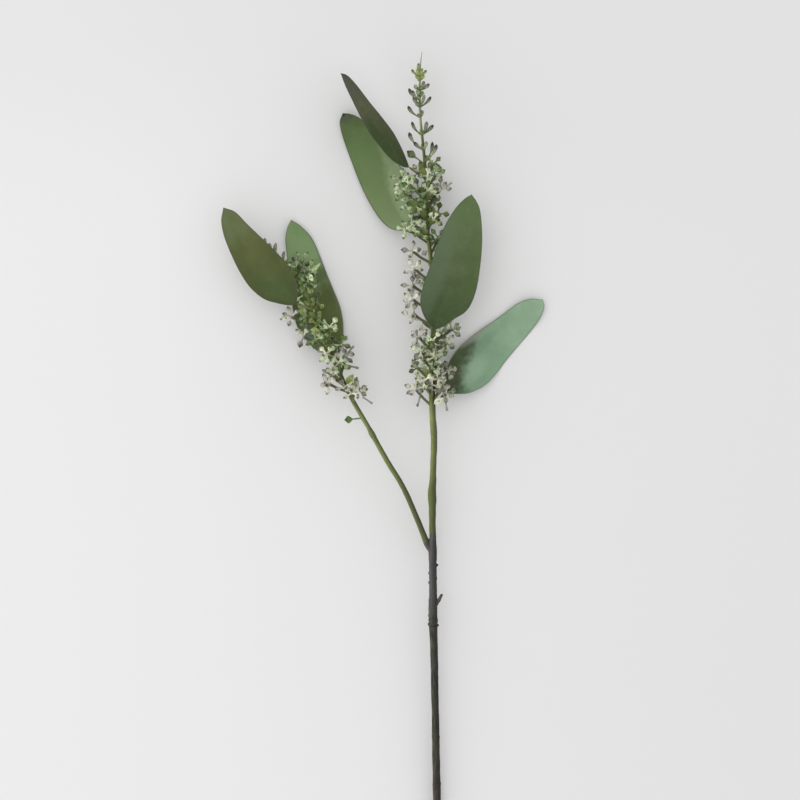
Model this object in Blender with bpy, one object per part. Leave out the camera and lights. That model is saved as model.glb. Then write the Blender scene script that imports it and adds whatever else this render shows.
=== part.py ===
"""A cut sprig of seeded eucalyptus, laid down: a woody stem that forks into two sprays of buds, with six leaves.

+Y runs up the sprig to its tip, +X to its right, +Z away from the surface that it lies on.
"""

import math
import random

import bmesh
import bpy
from mathutils import Vector

# Driving dimensions, in millimetres
MM = 0.001
SPRIG_LENGTH = 580.0
SEAT_GAP = 0.3
BLADE_THICKNESS = 0.9
MARGIN_THICKNESS = 0.65
PETIOLE_RADIUS = 0.8
BUD_LENGTH = 4.9
BUD_RADIUS = 1.95
PEDICEL_LENGTH = 3.2
PEDICEL_RADIUS = 0.5
PEDUNCLE_RADIUS = 0.95
SPIKE_BUD_LENGTH = 6.2
SPIKE_BUD_RADIUS = 1.25
CUT_RADIUS = 3.0
CUT_SLANT = 0.45

# How finely the solids are cut
STEM_SIDES = 10
BRANCH_SIDES = 8
KNOT_SIDES = 6
STALK_SIDES = 5
BUD_SIDES = 4
PETIOLE_STEPS = 2
MARGIN_STEPS = 8
HEIGHT_STEPS = 8
BLADE_ROWS = 12
BLADE_COLUMNS = 4
END_ROW = 0.42

# How the buds of an umbel spread round the way that its stalk points
BUD_SPREAD = math.radians(112)
GOLDEN_TURN = math.radians(137.5)
MAIN_SEED = 11
SIDE_SEED = 23

# Axis of the woody stem and of its main spray: x, y, z and radius. It lies flat at the cut, then rises.
CUT_END = CUT_RADIUS * CUT_SLANT - SPRIG_LENGTH / 2
WOODY_AXIS = [
    (38.9, CUT_END, 2.85, CUT_RADIUS),
    (38.7, CUT_END + 14, 2.85, CUT_RADIUS),
    (37.7, -226.8, 4.7, 2.9),
    (36.5, -163.8, 7.3, 2.6),
    (35.6, -124.0, 9.0, 2.7),
    (35.3, -111.3, 9.5, 3.05),
    (35.2, -102.0, 9.9, 2.95),
    (35.0, -85.0, 10.6, 2.75),
    (34.9, -69.0, 11.3, 2.9),
    (34.8, -60.0, 11.7, 3.0),
]
MAIN_AXIS = [
    (34.9, -50.4, 12.1, 2.35),
    (35.0, -26.0, 13.2, 2.2),
    (35.1, -20.5, 13.5, 2.5),
    (35.3, -15.0, 13.7, 2.2),
    (35.7, 18.2, 15.3, 2.15),
    (35.5, 24.5, 15.6, 2.45),
    (35.2, 31.0, 15.9, 2.0),
    (34.6, 45.0, 16.6, 1.95),
    (34.3, 67.0, 17.2, 1.75),
    (34.7, 95.0, 17.5, 1.5),
    (34.4, 122.0, 17.6, 1.4),
    (33.4, 145.6, 17.8, 1.35),
    (31.6, 160.0, 18.0, 1.3),
    (30.8, 179.2, 18.2, 1.25),
    (30.1, 200.2, 18.2, 1.15),
    (29.1, 214.2, 18.1, 1.05),
    (27.3, 231.7, 17.8, 0.95),
    (25.9, 245.7, 17.5, 0.85),
    (25.6, 263.2, 17.0, 0.75),
    (25.8, 277.0, 16.5, 0.65),
    (26.3, 282.5, 16.2, 0.3),
    (27.3, SPRIG_LENGTH / 2, 15.8, 0.2),
]
SIDE_AXIS = [
    (25.0, -39.6, 12.8, 1.95),
    (14.6, -15.9, 13.9, 1.85),
    (2.8, 3.7, 14.6, 1.8),
    (-4.9, 17.4, 15.1, 1.75),
    (-7.6, 22.2, 15.2, 2.1),
    (-10.2, 27.0, 15.3, 1.65),
    (-14.9, 35.1, 15.5, 1.6),
    (-21.8, 47.0, 15.8, 1.5),
    (-26.7, 56.8, 16.0, 1.45),
    (-34.3, 75.6, 16.3, 1.3),
    (-40.6, 89.6, 16.4, 1.2),
    (-48.3, 107.8, 16.3, 1.1),
    (-54.6, 123.2, 15.8, 0.95),
    (-61.8, 134.8, 15.0, 0.85),
    (-71.6, 144.2, 14.0, 0.7),
    (-80.4, 151.9, 13.2, 0.6),
    (-87.6, 157.8, 12.8, 0.4),
]
MAIN_STUB_END = (34.85, -50.7, 12.09, 2.4)
SIDE_STUB = [
    (34.6, -61.0, 11.8, 1.9),
    (31.2, -55.0, 12.0, 2.2),
    (27.6, -46.2, 12.4, 2.05),
    (25.12, -39.87, 12.79, 1.97),
]

# Bumps of old side shoots on the bark: x, y, outward direction, length, radius
BARK_KNOTS = [
    ((36.2, -70.0), (1.0, 0.35, 0.1), 2.6, 1.5),
    ((33.8, -75.5), (-1.0, 0.3, 0.2), 2.3, 1.4),
    ((33.6, -82.0), (-1.0, 0.5, -0.2), 2.0, 1.7),
    ((37.2, -190.4), (1.0, 0.4, 0.3), 2.6, 1.2),
    ((38.2, -223.6), (1.0, 0.5, 0.2), 2.7, 1.2),
]
TWIG_STUB = [(36.0, -98.5, 10.2, 1.5), (38.6, -95.0, 10.8, 1.15), (41.4, -89.8, 11.4, 0.95)]

# Umbels of a spray: where the stalk leaves the axis (y), where it ends (x, y, z), how many buds,
# and how far the buds may rise and fall beside how far they spread
MAIN_UMBELS = [
    (41.6, (22.8, 53.9, 19.0), 5, 0.8),
    (42.6, (43.6, 51.1, 21.0), 5, 0.5),
    (51.8, (28.7, 59.5, 25.0), 4, 0.8),
    (52.6, (38.2, 60.9, 25.5), 4, 0.8),
    (60.2, (24.3, 68.6, 14.5), 5, 0.8),
    (60.8, (44.8, 66.5, 20.5), 4, 0.6),
    (68.6, (35.7, 76.3, 24.5), 4, 0.7),
    (70.0, (26.6, 79.8, 20.5), 4, 0.7),
    (76.0, (32.5, 84.8, 9.5), 3, 0.5),
    (79.8, (44.1, 86.0, 14.0), 5, 0.6),
    (81.0, (25.3, 90.3, 16.5), 4, 0.7),
    (86.8, (48.0, 95.6, 12.5), 4, 0.4),
    (98.4, (21.4, 106.4, 15.0), 4, 0.7),
    (104.0, (40.6, 113.4, 11.5), 3, 0.6),
    (109.0, (20.5, 116.6, 19.0), 4, 0.6),
    (118.6, (20.6, 126.4, 13.0), 4, 0.7),
    (121.0, (42.0, 130.0, 11.5), 3, 0.6),
    (129.0, (21.9, 138.2, 18.0), 4, 0.7),
    (142.0, (20.6, 150.6, 16.0), 4, 0.6),
    (148.0, (37.6, 157.4, 14.5), 4, 0.5),
    (161.0, (20.6, 170.0, 21.0), 4, 0.6),
    (168.0, (38.6, 177.0, 17.5), 4, 0.8),
    (173.0, (23.2, 181.4, 23.5), 4, 0.7),
    (177.0, (33.4, 184.6, 10.0), 3, 0.5),
    (179.6, (40.4, 194.4, 19.0), 4, 0.8),
    (181.0, (13.6, 191.4, 18.0), 4, 0.7),
    (184.0, (31.4, 192.6, 25.0), 3, 0.7),
    (189.0, (12.6, 201.0, 12.5), 4, 0.4),
    (195.0, (36.8, 203.6, 18.0), 4, 0.8),
]
SIDE_UMBELS = [
    (51.8, (-37.6, 57.4, 17.5), 5, 0.8),
    (47.6, (-17.8, 53.4, 18.0), 5, 0.8),
    (64.0, (-26.4, 77.2, 21.0), 4, 0.6),
    (68.0, (-38.8, 78.2, 21.0), 4, 0.7),
    (66.0, (-31.0, 72.6, 23.5), 3, 0.7),
    (85.0, (-36.8, 97.4, 20.5), 4, 0.5),
    (78.0, (-47.0, 88.6, 21.5), 3, 0.6),
    (83.0, (-56.0, 90.4, 14.0), 3, 0.5),
    (90.0, (-45.4, 98.8, 19.5), 4, 0.6),
    (94.0, (-53.6, 102.0, 14.5), 3, 0.5),
    (98.0, (-64.4, 104.4, 11.5), 4, 0.4),
    (118.0, (-52.0, 128.4, 16.0), 4, 0.5),
    (127.0, (-52.8, 137.4, 13.0), 4, 0.5),
    (124.0, (-62.4, 131.0, 12.5), 4, 0.5),
    (133.0, (-57.4, 143.6, 11.5), 3, 0.5),
    (74.0, (-29.6, 85.6, 14.0), 3, 0.6),
]

# Lone buds: where the stalk leaves the axis (y), then the bud's end (x, y, z), its length and its radius
MAIN_LONE_BUDS = [
    (205.0, (25.2, 213.0, 20.0), 6.2, 2.4),
    (204.0, (34.6, 214.0, 17.0), 6.4, 2.0),
    (211.0, (16.6, 220.4, 19.5), 7.4, 2.7),
    (200.0, (39.6, 210.8, 19.0), 6.4, 2.7),
]
SIDE_LONE_BUDS = [
    (33.6, (-26.2, 32.4, 18.0), 4.9, 1.8),
]

# Tiers of slender buds on a spray's end: y on the axis, then how far each bud reaches in x, y and z
MAIN_SPIKE = [
    (212.6, [(8.4, 12.4, 1.0), (5.4, 14.4, -2.0)]),
    (221.0, [(-6.8, 5.6, 1.0), (-10.2, 12.6, -2.0), (2.0, 6.0, 4.5)]),
    (231.4, [(8.0, 7.4, -1.0), (3.4, 9.6, 2.0), (-7.2, 9.6, 1.0)]),
    (243.8, [(-8.6, 8.2, 0.0), (1.0, 5.0, 4.0)]),
    (251.0, [(7.8, 7.6, 0.0), (3.2, 8.6, 3.0), (-4.6, 7.6, -2.0), (-2.2, 3.4, 3.0)]),
    (256.0, [(-5.2, 6.8, 1.5), (-7.6, 8.4, -1.0)]),
    (262.6, [(6.8, 5.0, -1.0), (3.0, 6.8, 2.0), (-3.6, 4.2, 1.0)]),
    (272.6, [(-5.6, 5.0, 0.5), (4.6, 4.6, -0.5), (1.6, 5.6, 3.0), (-1.6, 6.0, -2.5)]),
]
SIDE_SPIKE = [
    (141.4, [(-0.4, 9.2, 0.0), (6.0, 3.4, -1.0)]),
    (146.4, [(-0.8, 10.0, 0.0), (-6.0, 1.0, -1.0)]),
    (149.6, [(-1.8, 6.6, -1.0), (-4.0, -3.4, 0.0)]),
    (152.6, [(-1.6, 7.2, -1.0), (-6.0, 1.2, 0.0)]),
]

# Leaves: margins from the base to the tip (x, y), midrib heights at even steps, how far the right margin
# stands above the left one beside the leaf's width, how far both curl up, and the leaf stalk's way from
# its seat on the axis (y) over its bends
LEAVES = {
    "leaf_1": {
        "left": [(-65.8, 112.4), (-74.6, 114.0), (-83.3, 116.9), (-92.4, 124.3), (-99.4, 134.4),
                 (-105.7, 147.0), (-111.0, 160.3), (-113.1, 171.6)],
        "right": [(-59.6, 120.6), (-60.6, 129.4), (-65.8, 139.7), (-71.0, 145.9), (-79.8, 154.7),
                  (-87.9, 162.4), (-95.2, 169.4), (-103.3, 177.6)],
        "base": (-60.6, 113.6),
        "tip": (-111.5, 180.6),
        "heights": [20.0, 21.5, 22.0, 20.5, 18.0],
        "roll": (0.12, 0.16),
        "curl": 0.10,
        "seat": (SIDE_AXIS, 108.0),
        "bends": [(-53.6, 111.2, 19.8)],
    },
    "leaf_2": {
        "left": [(-45.1, 80.2), (-52.5, 86.5), (-60.2, 97.3), (-63.9, 112.7), (-66.0, 130.2),
                 (-67.8, 149.8), (-68.6, 159.6), (-67.3, 167.0)],
        "right": [(-28.6, 88.2), (-27.9, 98.7), (-29.8, 110.6), (-34.3, 122.5), (-38.9, 133.4),
                  (-44.1, 147.0), (-48.3, 156.8), (-52.5, 163.1), (-58.4, 168.9)],
        "base": (-33.8, 78.6),
        "tip": (-64.6, 172.8),
        "heights": [6.5, 1.0, -0.8, -0.5, 3.2],
        "roll": (0.0, 0.05),
        "curl": 0.12,
        "seat": (SIDE_AXIS, 71.0),
        "bends": [(-31.0, 73.4, 10.6)],
    },
    "leaf_3": {
        "left": [(9.1, 165.2), (2.1, 168.7), (-4.2, 175.9), (-11.1, 187.5), (-16.5, 199.1),
                 (-21.7, 212.5), (-26.3, 225.0), (-29.6, 235.7), (-30.3, 242.0)],
        "right": [(21.4, 175.0), (21.0, 186.2), (17.5, 198.8), (11.2, 212.1), (3.5, 224.0),
                  (-4.9, 234.5), (-11.9, 241.0), (-18.2, 245.2), (-23.4, 247.2)],
        "base": (18.0, 165.8),
        "tip": (-28.2, 247.4),
        "heights": [9.5, 2.6, -0.7, -0.7, 3.8],
        "roll": (0.0, -0.05),
        "curl": 0.12,
        "seat": (MAIN_AXIS, 155.6),
        "bends": [(27.2, 159.0, 13.0)],
    },
    "leaf_4": {
        "left": [(14.0, 209.2), (5.6, 214.4), (-2.1, 223.0), (-9.1, 232.1), (-15.4, 243.3),
                 (-21.4, 255.5), (-26.4, 266.0)],
        "right": [(16.1, 215.2), (12.6, 223.4), (7.0, 233.8), (-1.4, 245.0), (-9.8, 255.2),
                  (-17.5, 265.3), (-23.3, 271.7), (-26.7, 273.9)],
        "base": (18.4, 208.9),
        "tip": (-29.4, 274.2),
        "heights": [19.6, 18.6, 19.0, 20.4, 23.0],
        "roll": (-0.3, -0.55),
        "curl": 0.06,
        "seat": (MAIN_AXIS, 200.6),
        "bends": [(24.4, 204.4, 19.8)],
    },
    "leaf_5": {
        "left": [(32.2, 99.4), (28.0, 106.1), (26.0, 114.8), (27.7, 124.6), (31.5, 135.8), (35.7, 147.7),
                 (39.9, 160.0), (44.8, 170.8), (51.1, 180.6), (57.4, 187.0)],
        "right": [(42.7, 97.7), (49.7, 102.6), (57.4, 107.5), (62.0, 114.1), (65.5, 124.6), (67.6, 137.2),
                  (69.0, 151.2), (69.2, 163.8), (68.0, 177.8), (65.5, 184.8)],
        "base": (36.6, 95.4),
        "tip": (62.0, 189.7),
        "heights": [22.0, 25.0, 27.0, 26.0, 22.0],
        "roll": (-0.02, -0.12),
        "curl": 0.08,
        "seat": (MAIN_AXIS, 90.6),
        "bends": [(35.8, 91.8, 21.0)],
    },
    "leaf_6": {
        "left": [(42.7, 61.6), (45.5, 71.4), (51.1, 80.5), (58.8, 88.2), (67.9, 95.2), (78.4, 102.2),
                 (88.9, 110.1), (95.9, 114.8), (103.4, 117.3)],
        "right": [(46.2, 50.8), (53.9, 50.4), (61.6, 51.4), (71.4, 56.4), (79.1, 64.1), (86.8, 74.2),
                  (95.9, 85.1), (105.0, 95.9), (110.6, 104.3), (113.3, 111.6)],
        "base": (40.8, 52.4),
        "tip": (112.2, 116.6),
        "heights": [9.5, 3.2, -0.8, -0.8, 2.8],
        "roll": (0.0, -0.04),
        "curl": 0.12,
        "seat": (MAIN_AXIS, 46.6),
        "bends": [(38.0, 49.4, 12.2)],
    },
}

# Colours in linear light, with roughness
FINISHES = {
    "bark": ((0.052, 0.048, 0.042, 1.0), 0.78),
    "green_shoot": ((0.17, 0.21, 0.09, 1.0), 0.62),
    "leaf": ((0.10, 0.17, 0.09, 1.0), 0.55),
}


def clear_scene():
    for obj in list(bpy.data.objects):
        bpy.data.objects.remove(obj, do_unlink=True)


def make_material(name):
    colour, roughness = FINISHES[name]
    material = bpy.data.materials.new(name)
    material.use_nodes = True
    shader = material.node_tree.nodes["Principled BSDF"]
    shader.inputs["Base Color"].default_value = colour
    shader.inputs["Roughness"].default_value = roughness
    shader.inputs["Metallic"].default_value = 0.0
    return material


def smooth_path(points, steps):
    """Points on a smooth curve through the given ones, with this many spans between two of them."""
    path = []
    last = len(points) - 1
    for index in range(last):
        before = points[max(index - 1, 0)]
        start = points[index]
        end = points[index + 1]
        after = points[min(index + 2, last)]
        for step in range(steps):
            t = step / steps
            path.append(tuple(
                0.5 * (2 * b + (c - a) * t + (2 * a - 5 * b + 4 * c - d) * t * t
                       + (3 * b - a - 3 * c + d) * t ** 3)
                for a, b, c, d in zip(before, start, end, after)
            ))
    path.append(tuple(points[last]))
    return path


def place_on(axis, y):
    """The point, radius and direction of a smooth axis where it passes this y."""
    for start, end in zip(axis, axis[1:]):
        if y <= end[1] or end is axis[-1]:
            break
    share = (y - start[1]) / (end[1] - start[1])
    point = Vector([a + (b - a) * share for a, b in zip(start[:3], end[:3])])
    radius = start[3] + (end[3] - start[3]) * share
    along = (Vector(end[:3]) - Vector(start[:3])).normalized()
    return point, radius, along


def ring_directions(points):
    """Two directions across the path at each point, carried along it without a twist."""
    frames = []
    across = None
    for index, point in enumerate(points):
        ahead = points[min(index + 1, len(points) - 1)] - points[max(index - 1, 0)]
        ahead.normalize()
        if across is None:
            guide = Vector((0, 0, 1)) if abs(ahead.z) < 0.9 else Vector((1, 0, 0))
            across = guide.cross(ahead).normalized()
        across = (across - ahead * across.dot(ahead)).normalized()
        frames.append((across, ahead.cross(across)))
    return frames


def tube_object(name, rows, sides, slant=0.0, straight=False):
    """A round solid along rows of x, y, z and radius, closed at both ends. A last radius of 0 is a point.

    A slant tilts the first end. The sides of a straight one are flat, so they stay whole.
    """
    points = [Vector(row[:3]) * MM for row in rows]
    frames = ring_directions(points)
    mesh = bmesh.new()
    rings = []
    for (across, up), point, row in zip(frames, points, rows):
        if row[3] == 0:
            rings.append([mesh.verts.new(point)])
            continue
        ring = []
        for side in range(sides):
            turn = 2 * math.pi * (side + 0.5) / sides - math.pi / 2
            offset = across * math.cos(turn) + up * math.sin(turn)
            ring.append(mesh.verts.new(point + offset * row[3] * MM))
        rings.append(ring)
    if slant:
        ahead = (points[1] - points[0]).normalized()
        for vert in rings[0]:
            vert.co += ahead * (vert.co - points[0]).dot(frames[0][0]) * slant
    for near, far in zip(rings, rings[1:]):
        for side in range(sides):
            after = (side + 1) % sides
            if len(far) == 1:
                mesh.faces.new((near[side], near[after], far[0]))
            else:
                mesh.faces.new((near[side], near[after], far[after], far[side]))
    mesh.faces.new(list(reversed(rings[0])))
    if len(rings[-1]) > 1:
        mesh.faces.new(rings[-1])
    if not straight:
        bmesh.ops.triangulate(mesh, faces=mesh.faces[:])
    bmesh.ops.recalc_face_normals(mesh, faces=mesh.faces[:])
    return mesh_object(name, mesh)


def mesh_object(name, mesh):
    data = bpy.data.meshes.new(name)
    mesh.to_mesh(data)
    mesh.free()
    return bpy.data.objects.new(name, data)


def bud_rows(root, way, stalk, length, radius):
    """A stalked bud: a thin stalk, a widest rim and a pointed cap."""
    rows = []
    for reach, thickness in (
        (0.0, PEDICEL_RADIUS * 1.2),
        (stalk, PEDICEL_RADIUS * 1.3),
        (stalk + length * 0.52, radius),
        (stalk + length, 0.0),
    ):
        rows.append(tuple(root + way * reach) + (thickness,))
    return rows


def umbel_solids(axis, umbel, draw):
    """The stalk of one umbel and the buds round its end."""
    y, centre, count, flatness = umbel
    start, _, along = place_on(axis, y)
    centre = Vector(centre)
    middle = start.lerp(centre, 0.55) + along * -0.8
    rows = [
        tuple(start) + (PEDUNCLE_RADIUS,),
        tuple(middle) + (PEDUNCLE_RADIUS * 0.85,),
        tuple(centre) + (PEDUNCLE_RADIUS * 1.35,),
    ]
    solids = [tube_object("peduncle", rows, STALK_SIDES)]
    out = (centre - middle).normalized()
    side = out.cross(Vector((0.2, 0.1, 1.0))).normalized()
    other = out.cross(side)
    phase = draw.uniform(0, 2 * math.pi)
    for index in range(count):
        tilt = BUD_SPREAD * math.sqrt((index + 0.35) / count)
        turn = phase + index * GOLDEN_TURN
        way = out * math.cos(tilt) + (side * math.cos(turn) + other * math.sin(turn)) * math.sin(tilt)
        way.z *= flatness
        way.normalize()
        stalk = PEDICEL_LENGTH * draw.uniform(0.85, 1.15)
        length = BUD_LENGTH * draw.uniform(0.92, 1.1)
        radius = BUD_RADIUS * draw.uniform(0.9, 1.1)
        rows = bud_rows(centre, way, stalk, length, radius)
        solids.append(tube_object("bud", rows, BUD_SIDES, straight=True))
    return solids


def lone_bud(axis, y, end, length, radius):
    """One bud on its own stalk, ending at a given point."""
    start = place_on(axis, y)[0]
    way = Vector(end) - start
    reach = way.length
    rows = bud_rows(start, way.normalized(), reach - length, length, radius)
    return tube_object("bud", rows, BUD_SIDES, straight=True)


def spike_solids(axis, tiers):
    """Slender buds in tiers on the end of a spray."""
    solids = []
    for y, reaches in tiers:
        start = place_on(axis, y)[0]
        for reach in reaches:
            end = start + Vector(reach)
            length = min(SPIKE_BUD_LENGTH, 0.72 * Vector(reach).length)
            solids.append(lone_bud(axis, y, end, length, SPIKE_BUD_RADIUS))
    return solids


def join_solids(host, solids):
    """One union of the host with everything that grows from it."""
    group = bpy.data.collections.new(host.name + "_repeats")
    bpy.context.scene.collection.children.link(group)
    for solid in solids:
        group.objects.link(solid)
    union = host.modifiers.new("union", "BOOLEAN")
    union.operation = "UNION"
    union.operand_type = "COLLECTION"
    union.collection = group
    union.solver = "EXACT"
    graph = bpy.context.evaluated_depsgraph_get()
    joined = bpy.data.meshes.new_from_object(host.evaluated_get(graph))
    host.modifiers.clear()
    host.data = joined
    for solid in solids:
        bpy.data.objects.remove(solid, do_unlink=True)
    bpy.data.collections.remove(group)


def finish_object(obj, material):
    obj.data.materials.clear()
    obj.data.materials.append(material)
    obj.data.shade_smooth()
    obj.data.set_sharp_from_angle(angle=math.radians(50))


def spray(name, axis, umbels, lone_buds, tiers, seed, material):
    """A green branch with its umbels, lone buds and end spike, as one solid."""
    draw = random.Random(seed)
    branch = tube_object(name, axis, BRANCH_SIDES)
    bpy.context.scene.collection.objects.link(branch)
    solids = []
    for umbel in umbels:
        solids += umbel_solids(axis, umbel, draw)
    for y, end, length, radius in lone_buds:
        solids.append(lone_bud(axis, y, end, length, radius))
    solids += spike_solids(axis, tiers)
    join_solids(branch, solids)
    finish_object(branch, material)


def woody_stem(material):
    """The dark stem with its knots and twig stub, and the short stubs that the two sprays go on from."""
    rows = WOODY_AXIS + [MAIN_STUB_END]
    stem = tube_object("woody_stem", rows, STEM_SIDES, slant=CUT_SLANT)
    bpy.context.scene.collection.objects.link(stem)
    solids = [
        tube_object("side_stub", SIDE_STUB, BRANCH_SIDES),
        tube_object("twig_stub", TWIG_STUB, KNOT_SIDES),
    ]
    for (x, y), way, length, radius in BARK_KNOTS:
        root = place_on(rows, y)[0]
        root.x = x
        tip = root + Vector(way).normalized() * length
        knot = [
            tuple(root) + (radius,),
            tuple(root.lerp(tip, 0.6)) + (radius * 0.8,),
            tuple(tip) + (radius * 0.4,),
        ]
        solids.append(tube_object("knot", knot, KNOT_SIDES, straight=True))
    join_solids(stem, solids)
    finish_object(stem, material)


def even_points(margin, shares):
    """Points of a smooth margin at the given shares of its length."""
    path = [Vector(point) for point in smooth_path(margin, MARGIN_STEPS)]
    lengths = [0.0]
    for near, far in zip(path, path[1:]):
        lengths.append(lengths[-1] + (far - near).length)
    found = []
    for share in shares:
        target = share * lengths[-1]
        index = next(i for i in range(1, len(path)) if lengths[i] >= target or i == len(path) - 1)
        part = (target - lengths[index - 1]) / (lengths[index] - lengths[index - 1])
        found.append(path[index - 1].lerp(path[index], part))
    return found


def height_at(heights, share):
    """The midrib's height at a share of the leaf's length."""
    rows = smooth_path([(height,) for height in heights], HEIGHT_STEPS)
    place = share * (len(rows) - 1)
    index = min(int(place), len(rows) - 2)
    return rows[index][0] + (rows[index + 1][0] - rows[index][0]) * (place - index)


def blade_rows(leaf):
    """Rows of points across the blade's middle surface, from the base to the tip, closer at both ends."""
    turns = [math.pi * (row + END_ROW) / (BLADE_ROWS - 1 + 2 * END_ROW) for row in range(BLADE_ROWS)]
    shares = [0.5 - 0.5 * math.cos(turn) for turn in turns]
    left = even_points([leaf["base"]] + leaf["left"] + [leaf["tip"]], shares)
    right = even_points([leaf["base"]] + leaf["right"] + [leaf["tip"]], shares)
    rows = []
    for share, near, far in zip(shares, left, right):
        roll = leaf["roll"][0] + (leaf["roll"][1] - leaf["roll"][0]) * share
        half = (far - near).length / 2
        row = []
        for column in range(BLADE_COLUMNS + 1):
            across = 2 * column / BLADE_COLUMNS - 1
            flat = near.lerp(far, column / BLADE_COLUMNS)
            rise = half * (2 * roll * across + leaf["curl"] * across ** 2)
            row.append(Vector((flat.x, flat.y, height_at(leaf["heights"], share) + rise)))
        rows.append(row)
    return rows


def blade_normals(rows):
    """The upward direction of the surface at each point of the rows."""
    normals = []
    for index, row in enumerate(rows):
        before = rows[max(index - 1, 0)]
        after = rows[min(index + 1, len(rows) - 1)]
        line = []
        for column in range(len(row)):
            ahead = after[column] - before[column]
            across = row[min(column + 1, len(row) - 1)] - row[max(column - 1, 0)]
            line.append(across.cross(ahead).normalized())
        normals.append(line)
    return normals


def stalk_ring(point, across, up, radius):
    """A leaf stalk's ring, with its points in the order of a blade's ring."""
    top = []
    bottom = []
    for column in range(BLADE_COLUMNS + 1):
        turn = math.pi * (1 - (column + 0.5) / (BLADE_COLUMNS + 1))
        top.append(point + (across * math.cos(turn) + up * math.sin(turn)) * radius)
        bottom.append(point + (across * math.cos(turn) - up * math.sin(turn)) * radius)
    return top + list(reversed(bottom))


def blade_ring(row, normals):
    """The blade's top points from left to right, then its bottom points back, flat where it meets the surface."""
    top = []
    bottom = []
    for column, (point, normal) in enumerate(zip(row, normals)):
        at_margin = column in (0, BLADE_COLUMNS)
        thickness = MARGIN_THICKNESS if at_margin else BLADE_THICKNESS
        low = point - normal * thickness / 2
        high = point + normal * thickness / 2
        low.z = max(low.z, 0.0)
        high.z = max(high.z, low.z + thickness)
        top.append(high)
        bottom.append(low)
    return top + list(reversed(bottom))


def leaf_object(name, leaf, material):
    """A leaf with its stalk, as one solid that ends just short of the branch it grows from."""
    rows = blade_rows(leaf)
    normals = blade_normals(rows)
    axis, y = leaf["seat"]
    seat, radius, along = place_on(axis, y)
    bends = [Vector(point) for point in leaf["bends"]]
    way = (bends[0] - seat).normalized()
    slope = abs(way.dot(along))
    start = seat + way * (radius + SEAT_GAP + PETIOLE_RADIUS * slope) / math.sqrt(1 - slope ** 2)
    base = rows[0][BLADE_COLUMNS // 2]
    path = [Vector(point) for point in smooth_path([start, *bends, base], PETIOLE_STEPS)]
    blade_across = rows[1][-1] - rows[1][0]
    rings = []
    for index, point in enumerate(path[:-1]):
        ahead = (path[index + 1] - path[max(index - 1, 0)]).normalized()
        across = (blade_across - ahead * blade_across.dot(ahead)).normalized()
        rings.append(stalk_ring(point, across, across.cross(ahead), PETIOLE_RADIUS))
    for row, line in zip(rows, normals):
        rings.append(blade_ring(row, line))
    mesh = bmesh.new()
    rings = [[mesh.verts.new(point * MM) for point in ring] for ring in rings]
    count = len(rings[0])
    for near, far in zip(rings, rings[1:]):
        for side in range(count):
            after = (side + 1) % count
            # The diagonals run alike on both faces of the blade.
            if side <= BLADE_COLUMNS:
                mesh.faces.new((near[side], near[after], far[side]))
                mesh.faces.new((near[after], far[after], far[side]))
            else:
                mesh.faces.new((near[side], near[after], far[after]))
                mesh.faces.new((near[side], far[after], far[side]))
    for ring in (rings[0], rings[-1]):
        for column in range(BLADE_COLUMNS):
            opposite = count - 1 - column
            mesh.faces.new((ring[column], ring[column + 1], ring[opposite - 1], ring[opposite]))
    bmesh.ops.triangulate(mesh, faces=[face for face in mesh.faces if len(face.verts) > 3])
    bmesh.ops.recalc_face_normals(mesh, faces=mesh.faces[:])
    obj = mesh_object(name, mesh)
    bpy.context.scene.collection.objects.link(obj)
    finish_object(obj, material)


def main():
    clear_scene()
    bark = make_material("bark")
    green = make_material("green_shoot")
    leaf_green = make_material("leaf")
    woody_stem(bark)
    spray("main_spray", MAIN_AXIS, MAIN_UMBELS, MAIN_LONE_BUDS, MAIN_SPIKE, MAIN_SEED, green)
    spray("side_spray", SIDE_AXIS, SIDE_UMBELS, SIDE_LONE_BUDS, SIDE_SPIKE, SIDE_SEED, green)
    for name, leaf in LEAVES.items():
        leaf_object(name, leaf, leaf_green)


main()
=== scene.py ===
"""The look of a cut sprig of seeded eucalyptus, laid down on a pale floor and seen from above.

Places and sizes are in millimetres and follow those of the solids. The buds that the solids have are drawn by
the same seeded rule, and more are added between them. The stage is in metres.
"""

import math
import random

import bpy
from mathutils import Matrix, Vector, noise


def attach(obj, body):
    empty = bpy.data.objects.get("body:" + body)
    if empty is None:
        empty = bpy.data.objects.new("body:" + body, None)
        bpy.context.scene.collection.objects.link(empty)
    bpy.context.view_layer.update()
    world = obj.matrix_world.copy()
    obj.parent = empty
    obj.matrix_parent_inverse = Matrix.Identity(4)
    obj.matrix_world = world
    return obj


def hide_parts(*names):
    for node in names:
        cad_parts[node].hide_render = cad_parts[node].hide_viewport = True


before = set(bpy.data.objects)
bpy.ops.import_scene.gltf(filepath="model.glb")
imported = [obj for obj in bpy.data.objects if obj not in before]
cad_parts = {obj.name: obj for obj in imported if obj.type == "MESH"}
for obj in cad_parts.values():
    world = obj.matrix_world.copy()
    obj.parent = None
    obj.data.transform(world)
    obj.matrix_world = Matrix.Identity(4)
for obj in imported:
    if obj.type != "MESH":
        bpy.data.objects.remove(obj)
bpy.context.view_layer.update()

# Dimensions of the solids, in millimetres
MM = 0.001
SPRIG_LENGTH = 580.0
PETIOLE_RADIUS = 0.8
BUD_LENGTH = 4.9
BUD_RADIUS = 1.95
PEDICEL_LENGTH = 3.2
PEDICEL_RADIUS = 0.5
PEDUNCLE_RADIUS = 0.95
SPIKE_BUD_LENGTH = 6.2
SPIKE_BUD_RADIUS = 1.25
CUT_RADIUS = 3.0
CUT_SLANT = 0.45

# How the buds of an umbel spread round the way that its stalk points
BUD_SPREAD = math.radians(112)
GOLDEN_TURN = math.radians(137.5)
MAIN_SEED = 11
SIDE_SEED = 23
MAIN_SPIKE_SEED = 5
SIDE_SPIKE_SEED = 6
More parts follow.
